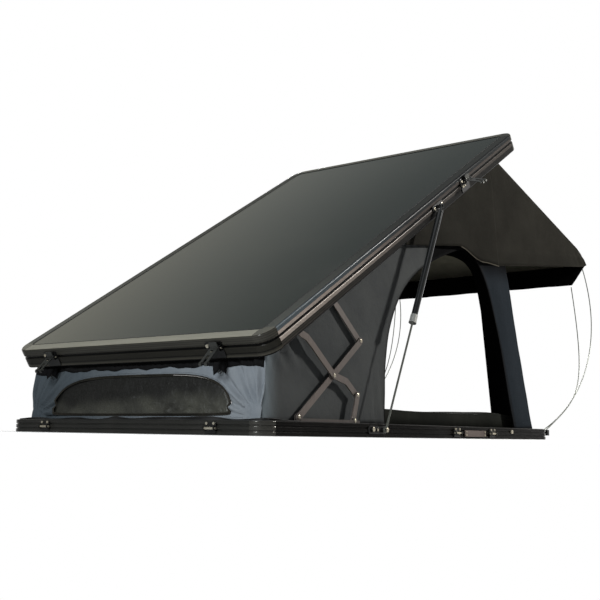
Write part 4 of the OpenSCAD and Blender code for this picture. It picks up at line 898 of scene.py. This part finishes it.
# Rear wall, leaning in with the lid
rearWall = {"half": 574.0, "doorHalf": 432.0, "doorFoot": 388.0, "doorTop": 886.0, "spring": 600.0,
            "power": 0.45, "jambSteps": 18, "archSteps": 42, "sideSteps": 48, "topSteps": 24, "across": 22,
            "fold": 5.0, "crumple": 1.2}


def makeRearWall():
    top, foot, wide = rearTopZ - 4, shape["clothFoot"], rearWall["half"]
    spring, half, power = rearWall["spring"], rearWall["doorHalf"], rearWall["power"]
    a = 90.0 * np.arange(2 * rearWall["archSteps"] + 1) / rearWall["archSteps"]
    c = cosDeg(a)
    arch = pile(-half * np.sign(c) * np.abs(c) ** power,
                spring + (rearWall["doorTop"] - spring) * np.abs(sinDeg(a)) ** power)
    jamb = run((-rearWall["doorFoot"], foot), (-half, spring), rearWall["jambSteps"])
    inner = np.concatenate([jamb, arch, jamb[::-1] * [-1, 1]])
    outer = np.concatenate([run((-wide, foot), (-wide, top), rearWall["sideSteps"]),
                            run((-wide, top), (wide, top), rearWall["topSteps"]),
                            run((wide, top), (wide, foot), rearWall["sideSteps"], 1)])
    t = np.linspace(0, 1, rearWall["across"])[None, :, None]
    flat = mix(inner[:, None], outer[:, None], t)
    y, z = flat[..., 0], flat[..., 1]
    fold = rearWall["fold"] * (0.5 + 0.5 * sinDeg(y * 1.1)) + rearWall["crumple"] * crumple(y, z, 160.0, 4.0)
    points = pile(rearLine(z) - shape["clothInset"] - fold * np.sin(math.pi * t[..., 0]), y, z)
    wall = addSheet("rearWall", points, flat, (1, 0, 0), "rearCloth")
    settle(wall, onWalls, "rear_wall")


makeRearWall()
print("tent: side and rear walls sewn")

# Awning: one sheet over the hood's roof and side gussets, with the valance under its front
hood = {"root": (1686.8, 1283.3), "brow": (2567.0, 1021.0), "front": (2721.0, 935.0), "nose": (8.0, 10.0),
        "hemBack": (1686.8, 785.0), "hemFront": (2691.0, 921.0), "half": 600.0, "gussetCut": 400.0,
        "sag": 12.0, "ripple": 1.5, "hemBand": 62.0, "hemLip": 3.0, "hemRadius": 1.6, "tip": (2660.0, 940.0),
        "tipFold": 5.0, "staySteps": 5, "bodySteps": 46, "noseSteps": 12, "roof": 52, "gusset": 26}
hoodRoot, hoodBrow, hoodFront = (np.array(hood[k]) for k in ("root", "brow", "front"))
hoodLean = math.atan2(hoodBrow[1] - hoodRoot[1], hoodBrow[0] - hoodRoot[0])
hoodWay = np.array([math.cos(hoodLean), math.sin(hoodLean)])
hoodStart = hoodRoot - shape["clothTop"] / math.sin(lean - hoodLean) * hoodWay


def onHood(piece):  # swings in under the lid with the awning
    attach(piece, "awning")
    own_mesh(piece)


def hoodLine():
    nose = run(hoodBrow, hoodFront, hood["noseSteps"], 1)
    share = run([0.0], [1.0], hood["noseSteps"], 1)
    return np.concatenate([run(hoodStart, hoodRoot, hood["staySteps"]),
                           run(hoodRoot, hoodBrow, hood["bodySteps"]),
                           nose + np.array(hood["nose"]) * 4 * share * (1 - share)])


def hoodHem(line):
    back, fore = np.array(hood["hemBack"]), np.array(hood["hemFront"])
    share = ((line[:, 0] - hoodRoot[0]) / (hoodFront[0] - hoodRoot[0]))[:, None]
    early = np.clip((line[:, 0] - hoodStart[0]) / (hoodRoot[0] - hoodStart[0]), 0, 1)[:, None]
    return np.where(share < 0, mix(hoodStart - [0, 8.0], back, early), mix(back, fore, share))


def makeHood():
    line = hoodLine()
    hem = hoodHem(line)
    rows, roof, side, band = len(line), hood["roof"], hood["gusset"], hood["hemBand"]
    up = np.concatenate([np.arange(side) / side, np.ones(roof + 1), np.arange(side - 1, -1, -1) / side])[None]
    across = np.concatenate([-np.ones(side), np.linspace(-1, 1, roof + 1), np.ones(side)])[None]
    i = np.arange(rows)[:, None] / (rows - 1)
    p = mix(hem[:, None], line[:, None], up[..., None])
    x, z = p[..., 0], p[..., 1]
    height = np.linalg.norm(line - hem, axis=1)[:, None] * up
    free = 4 * up * (1 - up) * smooth(i, 0.02, 0.12)
    roofed = up >= 1
    belly = (1 - across**2) * np.sin(math.pi * i) * roofed
    drop = belly * (hood["sag"] + hood["ripple"] * crumple(x, across * hood["half"], 260.0, 6.0))
    bulge = free * (2.0 * np.sin(x / 62.0 + 2 * up) + 2.4 * crumple(x, z, 230.0, 7.0))
    lip = hood["hemLip"] * (1 - smooth(height, band - 8, band + 4)) * smooth(i, 0.1, 0.2) * ~roofed
    fromTip = np.hypot(x - hood["tip"][0], z - hood["tip"][1])
    tip = hood["tipFold"] * np.sin((x + 0.8 * z) / 11.0) * np.exp(-fromTip / 60.0) * free
    y = across * (hood["half"] - shape["clothInset"] + bulge + lip + tip)
    points = pile(x, y, z - shape["clothInset"] * roofed - drop)
    along = np.concatenate([[0], np.cumsum(np.linalg.norm(np.diff(line, axis=0), axis=1))])[:, None]
    flat = pile(along, across * (hood["half"] + (1 - up) * hood["gussetCut"]))
    trim = 0.25 * (1 - smooth(height, band - 6, band + 6)) * ~roofed
    sheet = addSheet("hoodCloth", points, flat, (0, 0, 1), "hoodCloth", marks={"trim": trim})
    # the inner side takes the lighter copy, painted light on the shaded underside
    sheet.data.materials.append(finishes["hoodUndersideLit"])
    sheet.modifiers["clothThick"].material_offset = 1
    settle(sheet, onHood, "awning_hood")
    edges = [points[hood["staySteps"] + 1:, k] + [0, 0, 1.0] for k in (0, -1)]
    tape = tubeAlong("hoodHem", edges, hood["hemRadius"], "hemDark")
    settle(tape, onHood)


valance = {"top": (2720.5, 934.0), "drop": 117.0, "back": 90.0, "taper": 38.0, "cut": 148.0, "inset": 4.0,
           "swing": 5.0, "crumple": 2.5, "rows": 120, "across": 14}


def makeValance():
    s, t = grid(valance, -1)
    topX, topZ = valance["top"]
    fold = valance["swing"] * sinDeg(s * 900)
    fold = fold + valance["crumple"] * crumple(s * hood["half"], t * valance["drop"], 75.0, 8.0)
    x = topX - valance["back"] * t - shape["clothInset"] - fold * t
    y = s * (hood["half"] - valance["inset"] - valance["taper"] * t)
    points = pile(x, y, topZ - valance["drop"] * t)
    flat = pile(s * hood["half"], t * valance["cut"])
    flap = addSheet("hoodValance", points, flat, (1, 0, 0), "rearCloth")
    settle(flap, onHood)


# Side skirts that hang from the lid in front of the hood
skirt = {"foreFoot": 906.8, "foreTop": 996.8, "backFoot": 1685.8, "hemFore": 757.0, "hemSlope": 0.1469,
         "step": 72.0, "stepFrom": 1330.0, "stepTo": 1590.0, "fall": 0.155, "tapeFrom": 1350.0,
         "tapeRadius": 2.0, "lap": 22.0, "over": 1.2, "swing": 4.0, "crumple": 2.0, "rows": 110, "across": 22}


def skirtHem(x):
    rise = skirt["hemFore"] + (x - skirt["foreFoot"]) * skirt["hemSlope"]
    step = skirt["step"] * smooth(x, skirt["stepFrom"], skirt["stepTo"])
    return rise - step - skirt["fall"] * np.maximum(x - skirt["stepTo"], 0)


def makeSkirt(name, node, side):
    t, k = grid(skirt)
    topX = mix(skirt["foreTop"], hoodStart[0] - 4.0, t)
    hemX = mix(skirt["foreFoot"], skirt["backFoot"], t)
    hemZ = skirtHem(hemX)
    x = mix(topX, hemX, k) + skirt["lap"] * smooth(t, 0.93, 1.0) * smooth(k, 0.1, 0.3)
    z = mix(lidLine(topX, shape["clothTop"]), hemZ, k)
    fold = skirt["swing"] * sinDeg(x * 0.9) * k
    fold = fold + skirt["crumple"] * crumple(x, z, 240.0, 9.0) * k * (1 - k) * 4
    fold = fold * (1 - smooth(t, 0.75, 0.95)) + skirt["over"] * smooth(t, 0.8, 0.96)
    points = pile(x, side * (hood["half"] - shape["clothInset"] + fold), z)
    trim = 0.25 * (1 - smooth(z - hemZ, hood["hemBand"] - 6, hood["hemBand"] + 6))
    sheet = addSheet(name, points, points[..., ::2], (0, side, 0), "hoodCloth", marks={"trim": trim})
    settle(sheet, onLid, node)
    hem = points[points[:, -1, 0] > skirt["tapeFrom"], -1]
    tape = tubeAlong(name + "Hem", [hem], skirt["tapeRadius"], "hemTape")
    settle(tape, onLid)


# Spring rods from the sockets to the hood's corner and the valance's hem
rods = {"outer": [[2112, 620, 48], [2582, 630, 196], [2888, 620, 539], [2701, 588, 909]],
        "inner": [[2112, 634, 48], [2472, 641, 209], [2672, 612, 243], [2625, 554, 806]],
        "socket": 21.0, "radius": 2.5, "steps": 70}


def makeRods(name, node, side):
    paths = []
    for route in (rods["outer"], rods["inner"]):
        path = bezier(route, np.linspace(0, 1, rods["steps"]))
        foot = path[0] - [0, 0, rods["socket"]]
        paths.append(np.concatenate([[foot], path]) * [1, side, 1])
    settle(tubeAlong(name, paths, rods["radius"], "wire", sides=12), onHood, node)


makeHood()
makeValance()
for word, side in sides:
    makeSkirt(word + "Skirt", "skirt_" + word, side)
for word, side in sides:
    makeRods(word + "Rods", "awning_rods_" + word, side)
print("tent: awning hung on its rods")

# Mattress: a crowned pad with sewn channels across it and two humps from use
mattress = {"fore": 78.0, "back": 1990.5, "half": 550.0, "foot": 40.0, "thick": 74.0, "crown": 6.0,
            "rim": 5.0, "channels": 4, "channelDepth": 4.0, "channelWidth": 11.0 / 1912.0, "crumple": 0.7,
            "humps": [(13.0, 1745.0, 150.0), (4.0, 880.0, 140.0)], "rows": 120, "across": 60}


def makeMattress():
    rows, cols = mattress["rows"], mattress["across"]
    a, b = np.linspace(0, 1, rows)[:, None], np.linspace(-1, 1, cols + 1)[None]
    seams = range(1, mattress["channels"])
    seam = sum(hump(a, k / mattress["channels"], mattress["channelWidth"]) for k in seams)
    endEdge, sideEdges = 1 - np.abs(2 * a - 1) ** 40, 1 - np.abs(b) ** 24
    x = mix(mattress["fore"], mattress["back"], a)
    y = mattress["half"] * b * (1 - (0.008 * np.sin(math.pi * a) + 0.006 * seam) * np.abs(b))
    full = mattress["crown"] * np.sin(math.pi * a) * np.cos(b * math.pi / 2)
    z = mattress["foot"] + mattress["thick"] - mattress["crown"] - mattress["rim"]
    z = z + (mattress["rim"] + full + mattress["crumple"] * crumple(x, y, 190.0, 10.0)) * endEdge * sideEdges
    z = z - mattress["channelDepth"] * seam * sideEdges
    for height, middle, width in mattress["humps"]:
        z = z + height * hump(x, middle, width)
    build = bmesh.new()
    upper, lower = ([[build.verts.new(p) for p in row] for row in toFrame(pile(x, y, level))]
                    for level in (z, mattress["foot"] + 0.4))
    for i in range(rows - 1):
        for j in range(cols):
            build.faces.new((upper[i][j], upper[i + 1][j], upper[i + 1][j + 1], upper[i][j + 1]))
            build.faces.new((lower[i][j], lower[i][j + 1], lower[i + 1][j + 1], lower[i + 1][j]))
        for j in (0, cols):
            build.faces.new((upper[i][j], lower[i][j], lower[i + 1][j], upper[i + 1][j]))
    for j in range(cols):
        for i in (0, -1):
            build.faces.new((upper[i][j], upper[i][j + 1], lower[i][j + 1], lower[i][j]))
    bmesh.ops.recalc_face_normals(build, faces=build.faces)
    mesh = bpy.data.meshes.new("mattressPad")
    build.to_mesh(mesh)
    build.free()
    mesh.polygons.foreach_set("use_smooth", [True] * len(mesh.polygons))
    layer = mesh.uv_layers.new(name="cut")
    spots = np.array([mesh.vertices[corner.vertex_index].co[:2] for corner in mesh.loops])
    layer.data.foreach_set("uv", spots.ravel())
    pad = addPiece("mattressPad", mesh, "mattressCloth")
    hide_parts("mattress")
    onBase(pad)


# Lining under the lid: quilted cloth on the foam
lining = {"quilt": 95.0, "puff": 2.4, "off": 3.4, "gap": 0.3, "round": 34.0, "thick": 0.8, "rows": 150,
          "across": 96}


def makeLining():
    rail, corner = shape["lidRail"] + lining["gap"], lining["round"]
    half = shape["lidHalf"] - rail
    u = np.linspace(rail, shape["lidLength"] - rail, lining["rows"])[:, None]
    over = np.minimum(np.minimum(u - rail, shape["lidLength"] - rail - u), corner)
    inset = corner - np.sqrt(corner**2 - (corner - over) ** 2)
    y = np.linspace(-half, half, lining["across"])[None] * ((half - inset) / half)
    a, b = (u + y) * math.pi / lining["quilt"], (u - y) * math.pi / lining["quilt"]
    puff = lining["puff"] * np.sqrt(np.abs(np.sin(a) * np.sin(b)))
    points = lidPoint(u, y, shape["linerBottom"] + lining["off"] - puff)
    down = (math.sin(lean), 0, -math.cos(lean))
    sheet = addSheet("lidLining", points, pile(u, y), down, "liningCloth", lining["thick"])
    settle(sheet, "lid", "lid_liner")


makeMattress()
makeLining()
print("tent: mattress and lining laid")

# Heads of rivets, bolts and screws, a mesh for each kind and side
strut = {"foot": (665.0, 27.0), "head": (1232.0, 36.0), "y": 672.0, "boltGap": 32.0, "boltY": 658.9}
strutHeads = [lidPoint(strut["head"][0] + k, strut["boltY"], strut["head"][1])
              for k in (-strut["boltGap"], strut["boltGap"])]
headRows = {  # the body, then the places on the left side, the radius and the height
    "footRivets": ("base", [(246, 603.2, 64), (541.6, 624.6, 58)], 6.6, 0.9),
    "strutBolts": ("base", [(598, 666.4, 29), (665, 680.4, 27)], 8.6, 1.6),
    "strutScrews": ("base", [(625, 664.4, 27)], 5.4, 1.6),
    "strutHeads": ("lid", strutHeads, 6.2, 0.4),
    "armRivets": ("main_arm_", [(433.8, 610.2, 213.4), (605.2, 602.9, 349.7)], 6.6, 0.9),
    "linkRivets": ("lower_link_", [(568.9, 616.9, 150.4)], 6.6, 0.9),
}


def addHeads(name, body, spots, side, radius, height):
    mesh = bpy.data.meshes.new(name)
    mesh.from_pydata(toFrame(np.array(spots) * [1, side, 1]).tolist(), [], [])
    facing = mesh.attributes.new("facing", "FLOAT_VECTOR", "POINT")
    facing.data.foreach_set("vector", [0.0, side, 0.0] * len(spots))
    points = addObject(name + "Points", mesh)
    made = growTree(name, points, heads, Radius=radius / 1000.0, Height=height / 1000.0,
                    Finish=finishes["rivet"])
    settle(made, body)


for word, side in sides:
    for name, (body, spots, radius, height) in headRows.items():
        addHeads(name + "_" + word, body + word if body.endswith("_") else body, spots, side, radius, height)

# Collars at the lower ends of the strut cylinders
collars = {"from": 447.0, "to": 482.0, "rim": 6.0, "radius": 14.2, "rimRadius": 15.4}


def addCollar(name, word, side, low, high, radius):
    foot = np.array([strut["foot"][0], side * strut["y"], strut["foot"][1]])
    head = lidPoint(strut["head"][0], side * strut["y"], strut["head"][1])
    way = (head - foot) / np.linalg.norm(head - foot)
    line = [foot + way * d for d in (low, (low + high) / 2, high)]
    settle(tubeAlong(name, [line], radius, "collar", sides=24), "strut_tube_" + word)


for word, side in sides:
    low = collars["from"]
    addCollar("strutSleeve_" + word, word, side, low, collars["to"], collars["radius"])
    addCollar("strutRim_" + word, word, side, low, low + collars["rim"], collars["rimRadius"])

# Bead of sealant between the lid's border and its top sheet
bead = {"inset": 46.4, "round": 20.0, "radius": 1.5, "height": 79.6}


def makeBead():
    bow = bead["round"]
    inset = bead["inset"] + bow
    far, edge = shape["lidLength"] - inset, shape["lidHalf"] - inset
    line = []
    for u, y, start in ((far, edge, 0), (inset, edge, 90), (inset, -edge, 180), (far, -edge, 270)):
        a = start + np.arange(0, 91, 10)
        line.append(lidPoint(u + bow * cosDeg(a), y + bow * sinDeg(a), bead["height"]))
    made = tubeAlong("lidBead", [np.concatenate(line)], bead["radius"], "gumSeal", closed=True)
    settle(made, "lid")


makeBead()

# Webbing tabs at the top of the front wall
tabs = {"near": (-404.0, 232.0), "far": (489.0, 236.0), "width": 58.0, "head": 14.0, "drop": 32.0,
        "notch": 0.45, "off": 6.5, "ring": 7.0, "ringOff": 7.0, "ringDrop": 4.0, "ringRadius": 1.4,
        "rows": 14, "across": 12, "ringSteps": 28}


def makeTab(name, y, z):
    s, t = grid(tabs, -1)
    yy = y + s * tabs["width"] / 2 * (1 + 0.06 * np.sin(5 * t))
    zz = z + tabs["head"] - (tabs["head"] + tabs["drop"] * (1 - tabs["notch"] * (1 - np.abs(s) ** 3))) * t
    xx = frontPlace(zz) - tabs["off"] - 3 * np.sin(math.pi * t) + 2 * np.sin(4 * s)
    points = pile(xx, yy, zz)
    strap = addSheet(name, points, points[..., 1:], (-1, 0, 0), "blackTape")
    settle(strap, onWalls)
    a = turnsOf(tabs["ringSteps"])
    drop = z - tabs["drop"] * (1 - tabs["notch"])
    loop = pile(frontPlace(drop) - tabs["ringOff"], y + tabs["ring"] * cosDeg(a),
                drop - tabs["ringDrop"] + tabs["ring"] * sinDeg(a))
    settle(tubeAlong(name + "Ring", [loop], tabs["ringRadius"], "lever", closed=True), onWalls)


makeTab("nearTab", *tabs["near"])
makeTab("farTab", *tabs["far"])

# Lip of the rubber seal along the base's low end and a little way up its sides, loose and wavy
lip = {"inset": 24.0, "foot": 48.2, "low": 3.0, "height": 2.7, "bulge": 8.0, "round": 22.0, "end": 205.0,
       "side": 655.0, "thick": 1.4, "sideSteps": 39, "endSteps": 149, "across": 6,
       "bumps": [(1.0, -320.0, 120.0), (0.6, -90.0, 60.0), (0.5, 60.0, 40.0)]}


def makeLip():
    inset, turn, side = lip["inset"], lip["round"], lip["side"] - lip["inset"]
    arc = np.arange(5, 90, 5)
    bend = pile(inset + turn - turn * sinDeg(arc), side - turn + turn * cosDeg(arc))
    half = np.concatenate([run((lip["end"], side), (inset + turn, side), lip["sideSteps"], 1), bend,
                           run((inset, side - turn), (inset, 0), lip["endSteps"], 1)])
    line = np.concatenate([half, half[-2::-1] * [1, -1]])
    ahead = np.gradient(line, axis=0)
    out = pile(ahead[:, 1], -ahead[:, 0]) / np.linalg.norm(ahead, axis=1)[:, None]
    along = np.cumsum(np.linalg.norm(ahead, axis=1))[:, None]
    t = np.linspace(0, 1, lip["across"])[None]
    bump = sum(size * hump(line[:, 1:], middle, width) for size, middle, width in lip["bumps"])
    tall = lip["low"] + lip["height"] * (1 + np.sin(along / 37.0)) + lip["bulge"] * bump
    shift = (3 * np.sin(along / 29.0) * t + 5 * t * t)[..., None]
    plan = line[:, None] + shift * out[:, None]
    points = np.concatenate([plan, (lip["foot"] + tall * t)[..., None]], -1)
    flat = pile(along, tall * t)
    strip = addSheet("sealLip", points, flat, (-1, 0, 0), "gumSeal", lip["thick"])
    onBase(strip)


makeLip()
print("tent: rivets, tabs and seal lip added")
